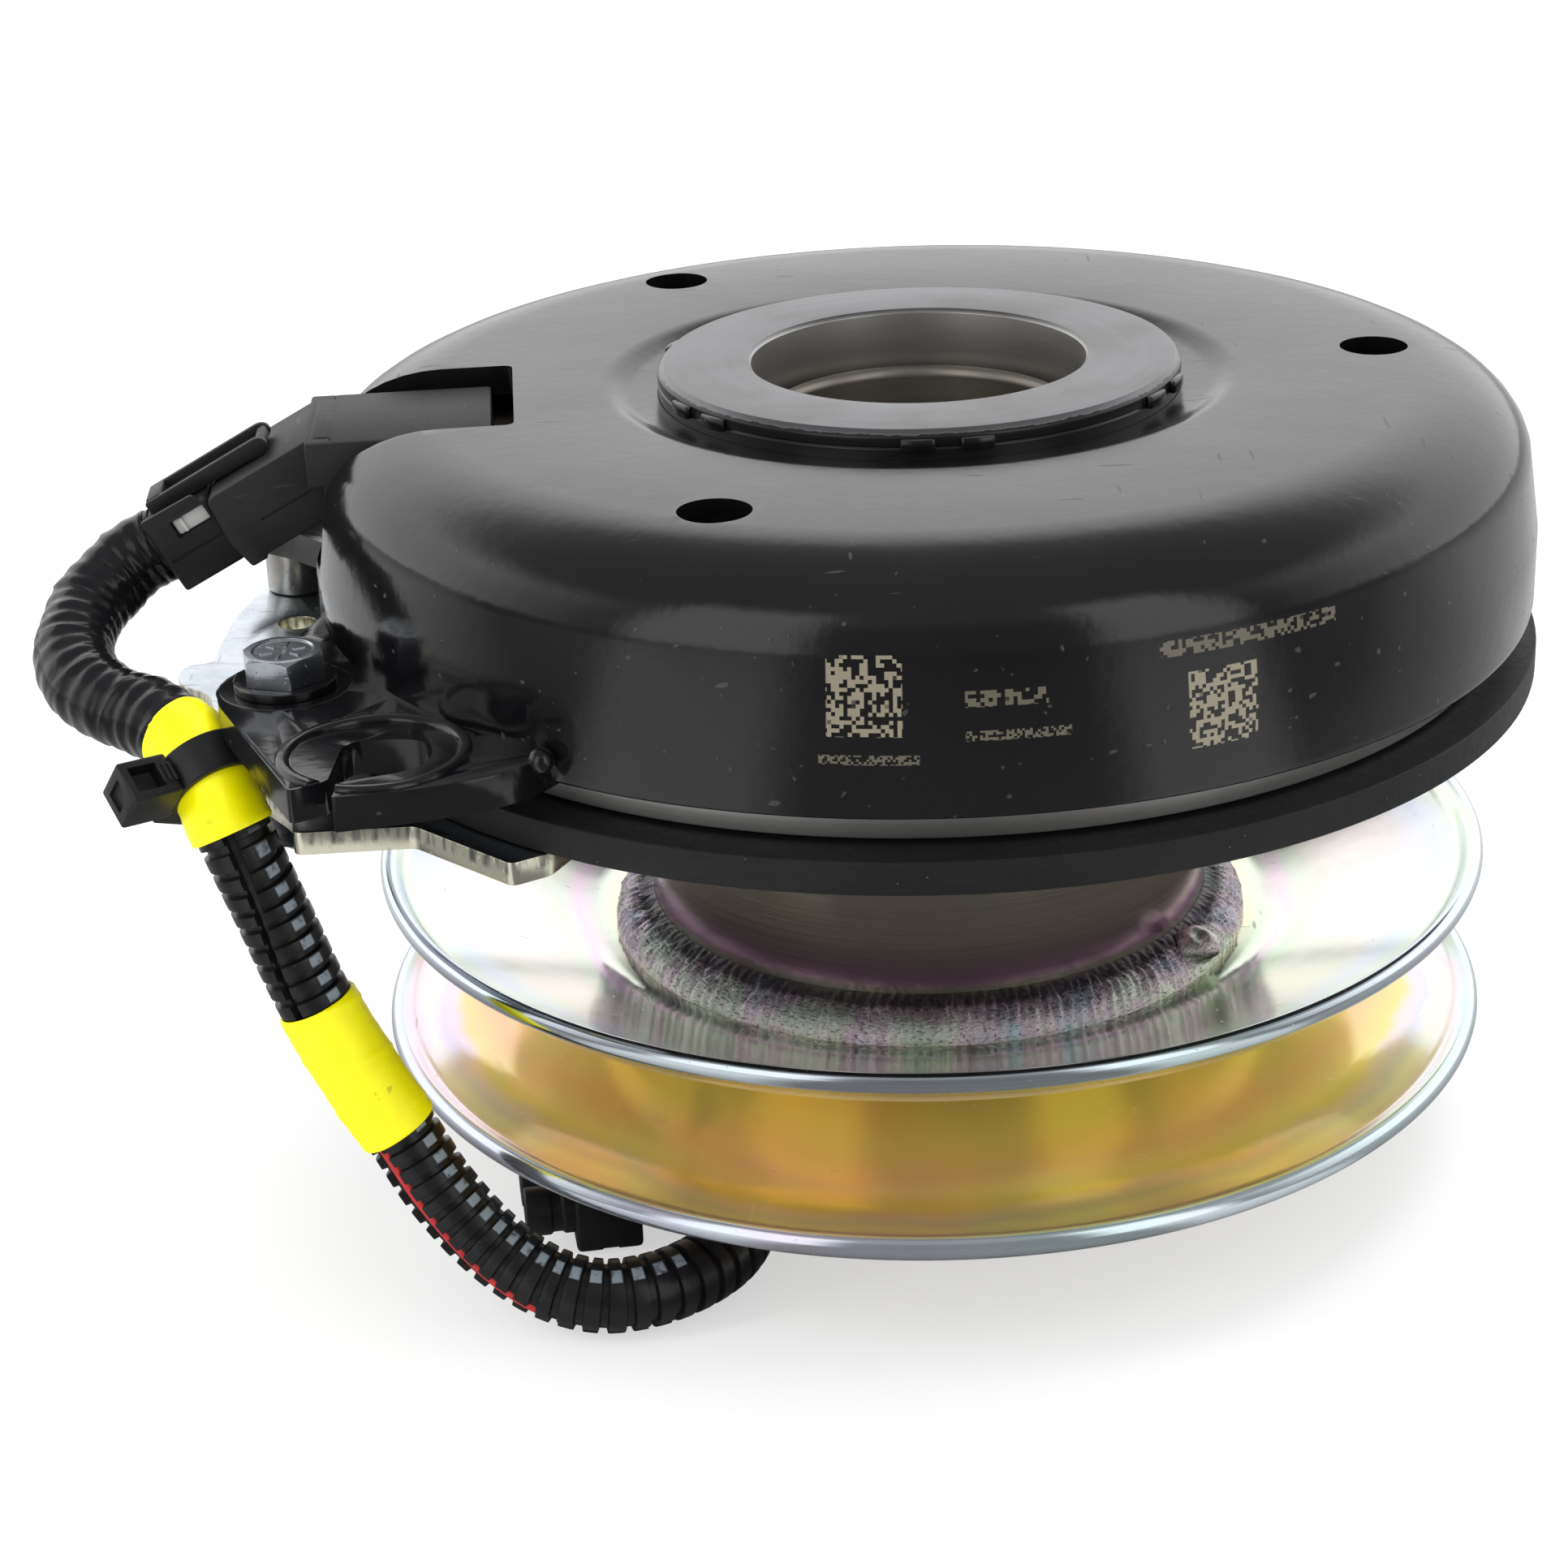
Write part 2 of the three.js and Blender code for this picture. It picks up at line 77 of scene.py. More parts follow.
# %% Expressions on sockets
class Number:
    """A value that changes over a surface. Its sums add Math nodes."""

    def __init__(self, finish, socket):
        self.finish = finish
        self.socket = socket

    def math(self, kind, *terms):
        values = dict(enumerate(terms))
        return self.finish.add("Math", {"operation": kind}, values)

    def __add__(self, other):
        return self.math("ADD", self, other)

    def __sub__(self, other):
        return self.math("SUBTRACT", self, other)

    def __rsub__(self, other):
        return self.math("SUBTRACT", other, self)

    def __mul__(self, other):
        return self.math("MULTIPLY", self, other)

    def __truediv__(self, other):
        return self.math("DIVIDE", self, other)

    def __pow__(self, other):
        return self.math("POWER", self, other)

    __radd__ = __add__
    __rmul__ = __mul__

    def clipped(self):
        return self.math("MAXIMUM", self.math("MINIMUM", self, 1.0), 0.0)

    def past(self, limit, soft):
        """0 below the limit, 1 above it, with an edge this soft."""
        return ((self - (limit - soft / 2)) / soft).clipped()

    def between(self, low, high, soft):
        return self.past(low, soft) * (1 - self.past(high, soft))

    def wave(self, times):
        return self.math("SINE", self * times)


class Finish:
    """One material: its shader, and the nodes that feed it."""

    def __init__(self, name, **constants):
        self.material = bpy.data.materials.new(name)
        self.material.use_nodes = True
        self.tree = self.material.node_tree
        self.shader = self.tree.nodes["Principled BSDF"]
        for key, value in constants.items():
            self.shader.inputs[key.replace("_", " ")].default_value = value
        self.place = self.add("TexCoord", out="Object")
        parts = self.add("SeparateXYZ", {}, {0: self.place}).socket.node
        self.x, self.y, self.z = [Number(self, s) for s in parts.outputs]

    def add(self, kind, settings=None, values=None, out=0):
        node = self.tree.nodes.new("ShaderNode" + kind)
        for key, value in (settings or {}).items():
            if key == "stops":
                self.set_stops(node.color_ramp, value)
            else:
                setattr(node, key, value)
        for key, value in (values or {}).items():
            self.feed(node.inputs[key], value)
        return Number(self, node.outputs[out])

    def set_stops(self, ramp, stops):
        while len(ramp.elements) < len(stops):
            ramp.elements.new(0.5)
        for element, (at, color) in zip(ramp.elements, stops):
            element.position = at
            element.color = (*color, 1)

    def feed(self, socket, value):
        if isinstance(value, Number):
            self.tree.links.new(value.socket, socket)
        elif isinstance(value, tuple) and len(value) == 3 and socket.type == "RGBA":
            socket.default_value = (*value, 1)
        else:
            socket.default_value = value

    def radius(self):
        return (self.x * self.x + self.y * self.y) ** 0.5

    def turn(self):
        return self.x.math("ARCTAN2", self.y, self.x)

    def noise(self, scale, detail=2.0, at=None, rough=0.5):
        values = {"Vector": at or self.place, "Scale": scale, "Detail": detail}
        values["Roughness"] = rough
        return self.add("TexNoise", {}, values)

    def stretched(self, x, y, z):
        """A place made of three numbers, for a pattern drawn out one way."""
        return self.add("CombineXYZ", {}, {0: x, 1: y, 2: z})

    def turned_lines(self, fineness, detail=3.0):
        """Fine lathe lines that run round the shaft."""
        at = self.stretched(self.radius() * fineness, self.z * fineness, self.turn() * 0.7)
        return self.noise(1.0, detail, at)

    def specks(self, scale, size):
        """Small dots, 1 inside and 0 outside."""
        cells = self.add("TexVoronoi", {}, {"Vector": self.place, "Scale": scale})
        keep = self.noise(scale * 0.31, 1.0).past(0.56, 0.02)
        return (1 - cells.past(size, size * 0.5)) * keep

    def scratches(self, scale, level=0.73):
        """Short thin marks in two directions."""
        one = self.stretched(self.x * scale * 9, self.y * scale, self.z * scale * 9)
        two = self.stretched(self.x * scale, self.y * scale * 11, self.z * scale * 7)
        marks = self.noise(1.0, 1.0, one).past(level, 0.03)
        more = self.noise(1.0, 1.0, two).past(level, 0.03)
        return (marks + more).clipped()

    def ramp(self, number, *stops):
        return self.add("ValToRGB", {"stops": stops}, {0: number})

    def mix(self, mask, one, two):
        return self.add("Mix", {"data_type": "RGBA"}, {0: mask, 6: one, 7: two}, out=2)

    def set(self, **inputs):
        for key, value in inputs.items():
            self.feed(self.shader.inputs[key.replace("_", " ")], value)

    def bump(self, height, depth, strength=1.0, on=None):
        values = {"Height": height, "Distance": depth, "Strength": strength}
        if on is not None:
            values["Normal"] = on
        return self.add("Bump", {}, values)


print("finishes are written with", Number.__name__, "and", Finish.__name__)

# %% [markdown]
# ## Black enamel
# The magnet's cup is dipped in black enamel over pressed steel. It has a wavy
# orange-peel gloss, dust and short rub marks. A dark base under a clear gloss
# was chosen: the marks only change the roughness and lift the colour a little.

# %% Black enamel
def black_enamel():
    f = Finish("black_enamel", IOR=1.58)
    peel = f.noise(420, 2.0)
    cloud = f.noise(38, 4.0)
    rub = f.scratches(70, 0.765)
    dust = f.specks(900, 0.05)
    marks = (rub * 0.7 + dust * 0.4).clipped()
    tone = f.mix(cloud, (0.0022, 0.0022, 0.0026), (0.005, 0.005, 0.006))
    f.set(Base_Color=f.mix(marks * 0.4, tone, (0.09, 0.09, 0.095)))
    top = f.z.past(0.1235, 0.004)
    f.set(Roughness=(cloud * 0.14 + rub * 0.2 + 0.07 + top * 0.07).clipped())
    wavy = f.bump(peel + f.noise(60, 1.0) * 3.0, 0.00005, 0.6)
    f.set(Normal=f.bump(marks, 0.00004, 0.6, wavy))
    return f


def etched_block(f, turn_from, turn_to, z_from, z_to, rows):
    """A square of even dots, burnt into the side of the cup."""
    turn = f.turn()
    inside = turn.between(math.radians(turn_from), math.radians(turn_to), 0.002)
    inside = inside * f.z.between(z_from * MM, z_to * MM, 0.0001)
    cell = (z_to - z_from) * MM / rows
    across, up = turn * (0.0953 / cell), f.z / cell
    cells = f.stretched(across.math("FLOOR", across), up.math("FLOOR", up), turn_from)
    dots = f.add("TexWhiteNoise", {}, {"Vector": cells}).past(0.46, 0.02)
    return inside * dots


def etched_enamel():
    f = black_enamel()
    f.material.name = "etched_enamel"
    blocks = etched_block(f, -100.6, -94.5, 105.0, 116.0, 20)
    blocks = blocks + etched_block(f, -71.0, -64.7, 99.7, 110.5, 20)
    for low, high, z0, z1 in [(-89.5, -82.8, 108.8, 111.0), (-89.5, -81.0, 104.2, 105.6),
                              (-101.3, -93.2, 101.0, 102.4), (-73.4, -56.4, 112.9, 115.1)]:
        blocks = blocks + etched_block(f, low, high, z0, z1, 4) * 0.45
    under = f.shader.inputs["Base Color"].links[0].from_socket
    f.set(Base_Color=f.mix(blocks.clipped(), Number(f, under), (0.20, 0.18, 0.13)))
    return f


ENAMEL = black_enamel()
CUP_ENAMEL = etched_enamel()
print("made", ENAMEL.material.name, "and", CUP_ENAMEL.material.name)

# %% [markdown]
# ## Bare steels
# Turned steel shows fine lines that run round the shaft, so its pattern is
# drawn on radius and height and hardly on turn. Iron left as it was cast or
# sheared is dark, dull and grainy, with bright nicks where it was knocked.

# %% Turned steel, raw iron and bearing steel
def turned_steel(name, dark, light, dull=0.24, lines=5000, grain=0.5):
    f = Finish(name, Metallic=1.0)
    line = f.turned_lines(lines)
    wide = f.turned_lines(700, 2.0)
    stain = f.noise(60, 4.0)
    tone = f.mix(line * 0.5 + wide * 0.5, dark, light)
    f.set(Base_Color=f.mix(stain.past(0.58, 0.25) * 0.5, tone, (0.16, 0.145, 0.12)))
    f.set(Roughness=(dull + line * 0.16 + stain * 0.1).clipped())
    f.set(Normal=f.bump(line, 0.000004, grain))
    return f


def raw_iron(name, dark, light):
    f = Finish(name, Metallic=0.35)
    grain = f.noise(900, 4.0, rough=0.7)
    cloud = f.noise(110, 4.0)
    nicks = f.specks(620, 0.08)
    drag = f.noise(1.0, 2.0, f.stretched(f.turn() * 12, f.z * 2500, f.radius() * 900))
    tone = f.mix(cloud * 0.6 + drag * 0.4, dark, light)
    f.set(Base_Color=f.mix(nicks * 0.5, tone, (0.16, 0.16, 0.16)))
    f.set(Roughness=(0.42 + grain * 0.3).clipped())
    rough = f.bump(grain + cloud, 0.00012, 0.5)
    f.set(Normal=f.bump(nicks * -1.0, 0.00018, 0.6, rough))
    return f


FACE_STEEL = turned_steel("face_steel", (0.20, 0.20, 0.205), (0.42, 0.42, 0.43), 0.30, 5000, 0.35)
BRIGHT_STEEL = turned_steel("bright_steel", (0.45, 0.45, 0.44), (0.75, 0.74, 0.72), 0.16)
HUB_STEEL = turned_steel("rotor_hub_steel", (0.20, 0.18, 0.15), (0.46, 0.43, 0.38), 0.26)
RACE_STEEL = turned_steel("bearing_race_steel", (0.5, 0.5, 0.5), (0.72, 0.72, 0.72), 0.1, 6000)
COLLAR_STEEL = turned_steel("hub_collar_steel", (0.28, 0.27, 0.26), (0.5, 0.49, 0.47), 0.3)
ARMATURE_IRON = raw_iron("armature_iron", (0.005, 0.005, 0.006), (0.020, 0.020, 0.021))
SPRING_STEEL = turned_steel("spring_steel", (0.33, 0.34, 0.36), (0.55, 0.56, 0.58), 0.22)
def bright_rim(f):
    """The rotor's outer rim is freshly turned, much brighter than its hub."""
    rim = f.radius().past(0.083, 0.001)
    color = Number(f, f.shader.inputs["Base Color"].links[0].from_socket)
    f.set(Base_Color=f.mix(rim, color, (0.72, 0.71, 0.68)))


bright_rim(HUB_STEEL)
print("made the bare steels")

# %% [markdown]
# ## The two-tone ring
# The steel ring is masked while the cup is dipped, so its top and bore stay
# bare and its side is black. The mask follows radius and height.

# %% Ring finish
def ring_finish():
    f = turned_steel("ring_two_tone", (0.17, 0.17, 0.175), (0.29, 0.29, 0.30), 0.26, 5000, 0.6)
    edge = f.noise(700, 2.0) * 0.0006
    side = (f.radius() + edge).past(0.03985 + 0.0003, 0.0002)
    side = side * (1 - (f.z + edge).past(0.1297, 0.0002))
    rust = f.noise(260, 2.0).past(0.69, 0.02) * (1 - f.radius().past(0.0262, 0.0004))
    color = Number(f, f.shader.inputs["Base Color"].links[0].from_socket)
    rough = Number(f, f.shader.inputs["Roughness"].links[0].from_socket)
    color = f.mix(rust, color, (0.16, 0.055, 0.015))
    # painted reflection: the bore's wall is painted a lighter grey than the top face of the same bare
    # steel
    bore = (1 - f.radius().past(0.0262, 0.0004)) * f.z.past(0.1175, 0.0003)
    color = f.mix(bore, color, (0.52, 0.51, 0.49))
    f.set(Base_Color=f.mix(side, color, (0.007, 0.007, 0.008)))
    f.set(Roughness=rough * (1 - side) + side * (0.16 + f.noise(500, 2.0) * 0.15))
    f.set(Metallic=1 - side)
    return f


RING_FINISH = ring_finish()
print("made", RING_FINISH.material.name)

# %% [markdown]
# ## Zinc with a yellow passivate
# Zinc plate dipped in a passivate has a film so thin that it shows pink, green,
# blue and gold by its thickness. The film runs thick in the groove and thin at
# the rims, so a ramp on radius sets the main colour and slow noise shifts it.

# %% Zinc finishes
PALE = (0.88, 0.85, 0.76)
PINK = (0.84, 0.66, 0.78)
LILAC = (0.70, 0.66, 0.86)
SKY = (0.66, 0.78, 0.90)
MINT = (0.70, 0.84, 0.64)
STRAW = (0.85, 0.79, 0.48)
GOLD = (0.86, 0.66, 0.12)
AMBER = (0.84, 0.46, 0.13)
OLIVE = (0.68, 0.64, 0.14)


def zinc(name, stops, dull=0.07, drift=0.30, lines=0.25):
    """stops: pairs of radius in mm and colour."""
    f = Finish(name, Metallic=1.0)
    drifted = f.radius() + (f.noise(26, 3.0) - 0.5) * 0.012
    low, high = stops[0][0], stops[-1][0]
    across = ((drifted - low * MM) / ((high - low) * MM)).clipped()
    color = f.ramp(across, *[((r - low) / (high - low), c) for r, c in stops])
    slow = f.noise(17, 2.0) * 0.75 + f.noise(61, 3.0) * 0.25
    tint = f.ramp(slow, (0.30, SKY), (0.42, PINK), (0.52, PALE), (0.62, MINT), (0.75, STRAW))
    color = f.mix(drift, color, tint)
    smudge = f.noise(150, 5.0, rough=0.65)
    rub = f.scratches(110, 0.785)
    spots = f.specks(520, 0.07)
    color = f.mix(spots * 0.5, color, (0.35, 0.33, 0.3))
    f.set(Base_Color=color)
    line = f.turned_lines(5000, 2.0)
    f.set(Roughness=(dull + smudge * 0.10 + rub * 0.2 + line * 0.04).clipped())
    flow = f.noise(70, 2.0)
    soft = f.bump(flow + line * 0.02 * lines, 0.00006, 0.5)
    f.set(Normal=f.bump(rub * -1.0 + spots, 0.000006, 0.5, soft))
    return f


UPPER_ZINC = zinc("upper_sheave_zinc", [
    (45, MINT), (50, STRAW), (54, MINT), (58, PINK), (61, MINT), (66, PALE), (76, PALE),
    (82, SKY), (86, MINT), (88, SKY), (90, SKY)])
LOWER_ZINC = zinc("lower_sheave_zinc", [
    (45, AMBER), (58, GOLD), (67, GOLD), (73, AMBER), (78, GOLD), (80, PINK), (82, LILAC),
    (84, PALE), (87, PINK), (89, SKY), (90.4, SKY)])


def paint_gold_reflection(f):
    """Faces that look down into the groove, picked by their facing, get a painted reflection of the
    gold cone below: gold colour, and less metallic.
    """
    tilt = f.add("NewGeometry", out="Normal")
    down = f.add("SeparateXYZ", {}, {0: tilt}, out=2)
    # painted reflection: faces that face down, inside the rim, are marked by their facing
    under = (1 - down.past(-0.2, 0.3)) * (1 - f.radius().past(0.0860, 0.004))
    color = Number(f, f.shader.inputs["Base Color"].links[0].from_socket)
    deep = f.mix(f.noise(45, 3.0).past(0.5, 0.2), GOLD, OLIVE)
    f.set(Base_Color=f.mix(under * 0.85, color, deep))
    f.set(Metallic=1 - under * 0.45)


def pale_depth(f):
    """A thick film scatters some light, so the gold of the cone glows."""
    f.set(Metallic=0.82 + f.radius().past(0.0770, 0.004) * 0.1)


paint_gold_reflection(UPPER_ZINC)
pale_depth(LOWER_ZINC)


def flat_zinc(name, main, second, dull=0.14, grain=0.5, edge=0.0):
    """Clear zinc on flat or hexagon parts, cloudy and faintly blue."""
    f = Finish(name, Metallic=1.0)
    cloud = f.noise(95, 5.0, rough=0.6)
    fine = f.noise(800, 3.0, rough=0.6)
    color = f.mix(cloud.past(0.5, 0.35), main, second)
    if edge:
        tilt = f.add("NewGeometry", out="Normal")
        up = f.add("SeparateXYZ", {}, {0: tilt}, out=2)
        side = 1 - up.math("ABSOLUTE", up).past(0.5, 0.3)
        tears = f.noise(1.0, 3.0, f.stretched(f.x * 900, f.y * 900, f.z * 160)).past(0.55, 0.2)
        sheared = f.mix(tears * f.z.past(0.0800, 0.0008), (0.92, 0.89, 0.70), (0.20, 0.22, 0.18))
        color = f.mix(side * edge, color, sheared)
    f.set(Base_Color=color)
    rub = f.scratches(130, 0.74)
    f.set(Roughness=(dull + cloud * 0.22 + rub * 0.15).clipped())
    f.set(Normal=f.bump(fine + cloud * 2.0 - rub, 0.00005, grain))
    return f


PLATE_ZINC = flat_zinc("brake_plate_zinc", (0.68, 0.73, 0.78), (0.50, 0.55, 0.60), edge=0.9)
BOLT_ZINC = flat_zinc("bolt_zinc", (0.66, 0.69, 0.73), (0.36, 0.39, 0.42), 0.16, 0.8)
SPACER_STEEL = flat_zinc("spacer_steel", (0.62, 0.61, 0.58), (0.40, 0.38, 0.35), 0.18, 0.4)


def pulley_hub_finish():
    f = turned_steel("pulley_hub_bronze", (0.62, 0.56, 0.50), (0.90, 0.82, 0.74), 0.10, 3000, 0.6)
    up = (f.z - 0.036) / 0.03
    tint = f.ramp(up.clipped(), (0.0, (0.62, 0.56, 0.30)), (0.16, (0.50, 0.62, 0.34)),
                  (0.26, (0.70, 0.42, 0.62)), (0.36, (0.62, 0.48, 0.52)),
                  (0.5, (0.78, 0.68, 0.60)), (1.0, (0.84, 0.76, 0.68)))
    line = Number(f, f.shader.inputs["Base Color"].links[0].from_socket)
    f.set(Base_Color=f.add("Mix", {"data_type": "RGBA", "blend_type": "MULTIPLY"},
                           {0: 0.35, 6: tint, 7: line}, out=2))
    f.set(Metallic=0.9)
    return f


def weld_finish():
    f = Finish("weld_metal", Metallic=1.0)
    combed = f.stretched(f.turn() * 60, f.radius() * 2600, f.z * 2600)
    hair = f.noise(1.0, 4.0, combed, rough=0.7)
    slow = f.noise(120, 3.0)
    tint = f.ramp(slow, (0.3, (0.50, 0.60, 0.68)), (0.45, (0.66, 0.55, 0.62)),
                  (0.55, (0.66, 0.66, 0.62)), (0.7, (0.50, 0.62, 0.52)))
    inner = 1 - (f.radius() + (hair - 0.5) * 0.002).past(0.0482, 0.001)
    tint = f.mix(inner * 0.8, tint, (0.03, 0.03, 0.035))
    f.set(Base_Color=f.mix(hair.past(0.38, 0.15), (0.05, 0.05, 0.055), tint))
    f.set(Roughness=(0.10 + hair * 0.25).clipped())
    f.set(Normal=f.bump(hair, 0.00022, 0.9))
    return f


HUB_BRONZE = pulley_hub_finish()
WELD_METAL = weld_finish()
print("made the zinc, hub and weld finishes")

# %% [markdown]
# ## Plastics, tape, rubber, copper and ferrite
# Moulded nylon is dull with a fine spark-eroded grain. Vinyl tape is glossy and
# creased. Each is one base colour broken up by its own grain and dust.

# %% Moulded and wrapped finishes
def moulded(name, dark, light, dull=0.38, grain_size=1800, depth=0.00003):
    f = Finish(name, IOR=1.5)
    grain = f.noise(grain_size, 3.0)
    cloud = f.noise(90, 4.0)
    rub = f.scratches(160, 0.75)
    f.set(Base_Color=f.mix((cloud * 0.7 + rub * 0.8).clipped(), dark, light))
    f.set(Roughness=(dull + grain * 0.15 + cloud * 0.12 - rub * 0.1).clipped())
    f.set(Normal=f.bump(grain, depth, 0.6))
    return f


def vinyl(name, main, shade, dull=0.2):
    f = Finish(name, IOR=1.42)
    crease = f.noise(1.0, 3.0, f.stretched(f.x * 260, f.y * 260, f.z * 90))
    cloud = f.noise(180, 4.0)
    dirt = f.noise(420, 3.0).past(0.7, 0.04)
    color = f.mix(cloud, main, shade)
    f.set(Base_Color=f.mix(dirt * 0.5, color, tuple(c * 0.4 for c in shade)))
    f.set(Roughness=(dull + cloud * 0.2).clipped())
    f.set(Normal=f.bump(crease + cloud * 0.5, 0.0005, 0.5))
    return f


def loom_finish(total):
    """Ribbed tube. Its own map holds turn (0 to 1) and length (0 to 1)."""
    f = Finish("split_loom", IOR=1.42)
    spots = f.add("SeparateXYZ", {}, {0: f.add("UVMap", {"uv_map": "along"})})
    turn, length = [Number(f, s) for s in spots.socket.node.outputs][:2]
    length = length * total
    shine = f.noise(300, 3.0)
    dust = f.specks(1100, 0.1)
    pale = turn.between(0.578, 0.638, 0.006)
    run = length.between(0.076, 0.105, 0.001) + length.between(0.128, 0.182, 0.001)
    crest = (length / 0.0031).math("FRACT", length / 0.0031).between(0.06, 0.54, 0.08)
    print_mark = pale * run.clipped() * crest * f.noise(900, 2.0).past(0.35, 0.25)
    tone = f.mix(shine, (0.004, 0.004, 0.005), (0.010, 0.010, 0.011))
    tone = f.mix(dust * 0.4, tone, (0.12, 0.12, 0.12))
    f.set(Base_Color=f.mix(print_mark * 0.9, tone, (0.20, 0.24, 0.27)))
    f.set(Roughness=(0.2 + shine * 0.22).clipped())
    f.set(Normal=f.bump(shine, 0.00008, 0.5))
    return f


def wound_copper():
    f = Finish("wound_copper", Metallic=0.9)
    wires = f.z.wave(2 * math.pi / 0.0008) + f.radius().wave(2 * math.pi / 0.0008)
    f.set(Base_Color=f.mix(f.noise(200, 3.0), (0.42, 0.17, 0.07), (0.62, 0.30, 0.14)))
    f.set(Roughness=(0.25 + f.noise(500, 2.0) * 0.2).clipped())
    f.set(Normal=f.bump(wires, 0.0002, 0.8))
    return f


PLUG_BLACK = moulded("plug_black", (0.004, 0.004, 0.005), (0.014, 0.014, 0.015), 0.34)
COIL_BLACK = moulded("coil_housing_black", (0.006, 0.006, 0.007), (0.022, 0.022, 0.024), 0.42)
TIE_NYLON = moulded("tie_nylon", (0.004, 0.004, 0.005), (0.012, 0.012, 0.013), 0.28)
BOBBIN = moulded("bobbin_nylon", (0.05, 0.045, 0.04), (0.10, 0.09, 0.08), 0.45)
SEAL = moulded("seal_rubber", (0.012, 0.010, 0.010), (0.03, 0.027, 0.025), 0.55, 900)
FERRITE = moulded("magnet_ferrite", (0.035, 0.033, 0.032), (0.08, 0.077, 0.075), 0.6, 1200, 0.00008)
PALE_SEAL = moulded("plug_seal", (0.40, 0.40, 0.39), (0.62, 0.62, 0.60), 0.3)
RED_WIRE = moulded("red_wire", (0.36, 0.006, 0.008), (0.55, 0.02, 0.02), 0.3)
YELLOW_TAPE = vinyl("yellow_tape", (0.98, 0.92, 0.0), (0.86, 0.79, 0.0), 0.25)
BLACK_TAPE = vinyl("black_tape", (0.003, 0.003, 0.004), (0.009, 0.009, 0.010), 0.10)
COPPER = wound_copper()
print("made the moulded and wrapped finishes")

# %% [markdown]
# ## The harness
# The harness is split corrugated tube over two wires. It leaves the plug, loops
# down past the ear and curls in under the pulley. A curve could carry it, but
# the ribs and the slit want a mesh tube: rings set along one smooth line.

# %% The line that the harness follows
ROUTE = [Vector(p) * MM for p in [
    (-118.1, -8.25, 106.85), (-121.2, -8.5, 105.3), (-125.4, -10.4, 102.6),
    (-129.3, -15.6, 99.1), (-130.7, -24, 96), (-128.7, -32.2, 93.7),
    (-123.4, -38.2, 92), (-116.2, -43.4, 91), (-111.3, -47.9, 89.6),
    (-106.9, -53.4, 85.7), (-103.5, -58.2, 79.4), (-98.8, -59, 66), (-93.4, -60, 51),
    (-87, -61.1, 38), (-82.2, -61.6, 29.5), (-77.3, -63.6, 21.3), (-69.3, -66.9, 12.6),
    (-61.4, -69.8, 7.9), (-53.7, -71, 6.1), (-46.6, -69.5, 5.8), (-40, -65.4, 5.8),
    (-34.8, -59, 5.8), (-32.7, -51.2, 5.8), (-35.1, -43.6, 5.8), (-41.2, -38.9, 5.9),
    (-48, -38.9, 6.2)]]


def through(points, per=24):
    """Points on a smooth line through all of these, near ones closer in."""
    ends = [points[0] * 2 - points[1], *points, points[-1] * 2 - points[-2]]
    line = []
    for p0, p1, p2, p3 in zip(ends, ends[1:], ends[2:], ends[3:]):
        d0, d1, d2 = [max((b - a).length ** 0.5, 1e-5) for a, b in ((p0, p1), (p1, p2), (p2, p3))]
        out = ((p1 - p0) / d0 - (p2 - p0) / (d0 + d1) + (p2 - p1) / d1) * d1
        into = ((p2 - p1) / d1 - (p3 - p1) / (d1 + d2) + (p3 - p2) / d2) * d1
        for i in range(per):
            t = i / per
            a, b = 2 * t**3 - 3 * t**2 + 1, t**3 - 2 * t**2 + t
            c, d = 3 * t**2 - 2 * t**3, t**3 - t**2
            line.append(p1 * a + out * b + p2 * c + into * d)
    return line + [points[-1]]


def evenly(line, step):
    """The same line with its points one step apart."""
    total = sum((b - a).length for a, b in zip(line, line[1:]))
    count = round(total / step)
    step = total / count
    points, left, walked = [line[0]], step, 0.0
    for a, b in zip(line, line[1:]):
        span = (b - a).length
        while span - walked >= left and len(points) < count:
            walked += left
            points.append(a.lerp(b, walked / span))
            left = step
        left -= span - walked
        walked = 0.0
    return points + [line[-1]], total


LINE, LOOM_LENGTH = evenly(through(ROUTE), 0.0002)
print("harness is", round(LOOM_LENGTH, 4), "m long,", len(LINE), "rings")

# %% Frames along the line
def frames(line):
    """At each point: the place, the way along, towards the viewer, and across."""
    toward = Vector((0, -0.918, 0.396))
    result = []
    for i, p in enumerate(line):
        along = (line[min(i + 1, len(line) - 1)] - line[max(i - 1, 0)]).normalized()
        face = (toward - along * toward.dot(along)).normalized()
        result.append((p, along, face, face.cross(along)))
    return result


FRAMES = frames(LINE)
RING_COUNT = len(FRAMES)


def ring_at(i, turn, radius):
    p, along, face, across = FRAMES[min(max(i, 0), RING_COUNT - 1)]
    return p + (face * math.cos(turn) + across * math.sin(turn)) * radius


def at_length(mm):
    return round(mm * MM / LOOM_LENGTH * (RING_COUNT - 1))


def smooth(t):
    t = min(max(t, 0.0), 1.0)
    return t * t * (3 - 2 * t)


def tube_mesh(name, rings, closed_ends=True, loop=False):
    """A mesh from rings of points. The ends are capped, or joined as a loop."""
    sides = len(rings[0])
    verts = [tuple(v) for ring in rings for v in ring]
    faces = []
    last = len(rings) if loop else len(rings) - 1
    for i in range(last):
        a, b = i * sides, ((i + 1) % len(rings)) * sides
        for k in range(sides):
            n = (k + 1) % sides
            faces.append((a + k, a + n, b + n, b + k))
    if closed_ends and not loop:
        faces.append(tuple(reversed(range(sides))))
        faces.append(tuple((len(rings) - 1) * sides + k for k in range(sides)))
    mesh = bpy.data.meshes.new(name)
    mesh.from_pydata(verts, [], faces)
    obj = bpy.data.objects.new(name, mesh)
    bpy.context.scene.collection.objects.link(obj)
    work = bmesh.new()
    work.from_mesh(mesh)
    bmesh.ops.recalc_face_normals(work, faces=work.faces)
    work.to_mesh(mesh)
    work.free()
    return obj


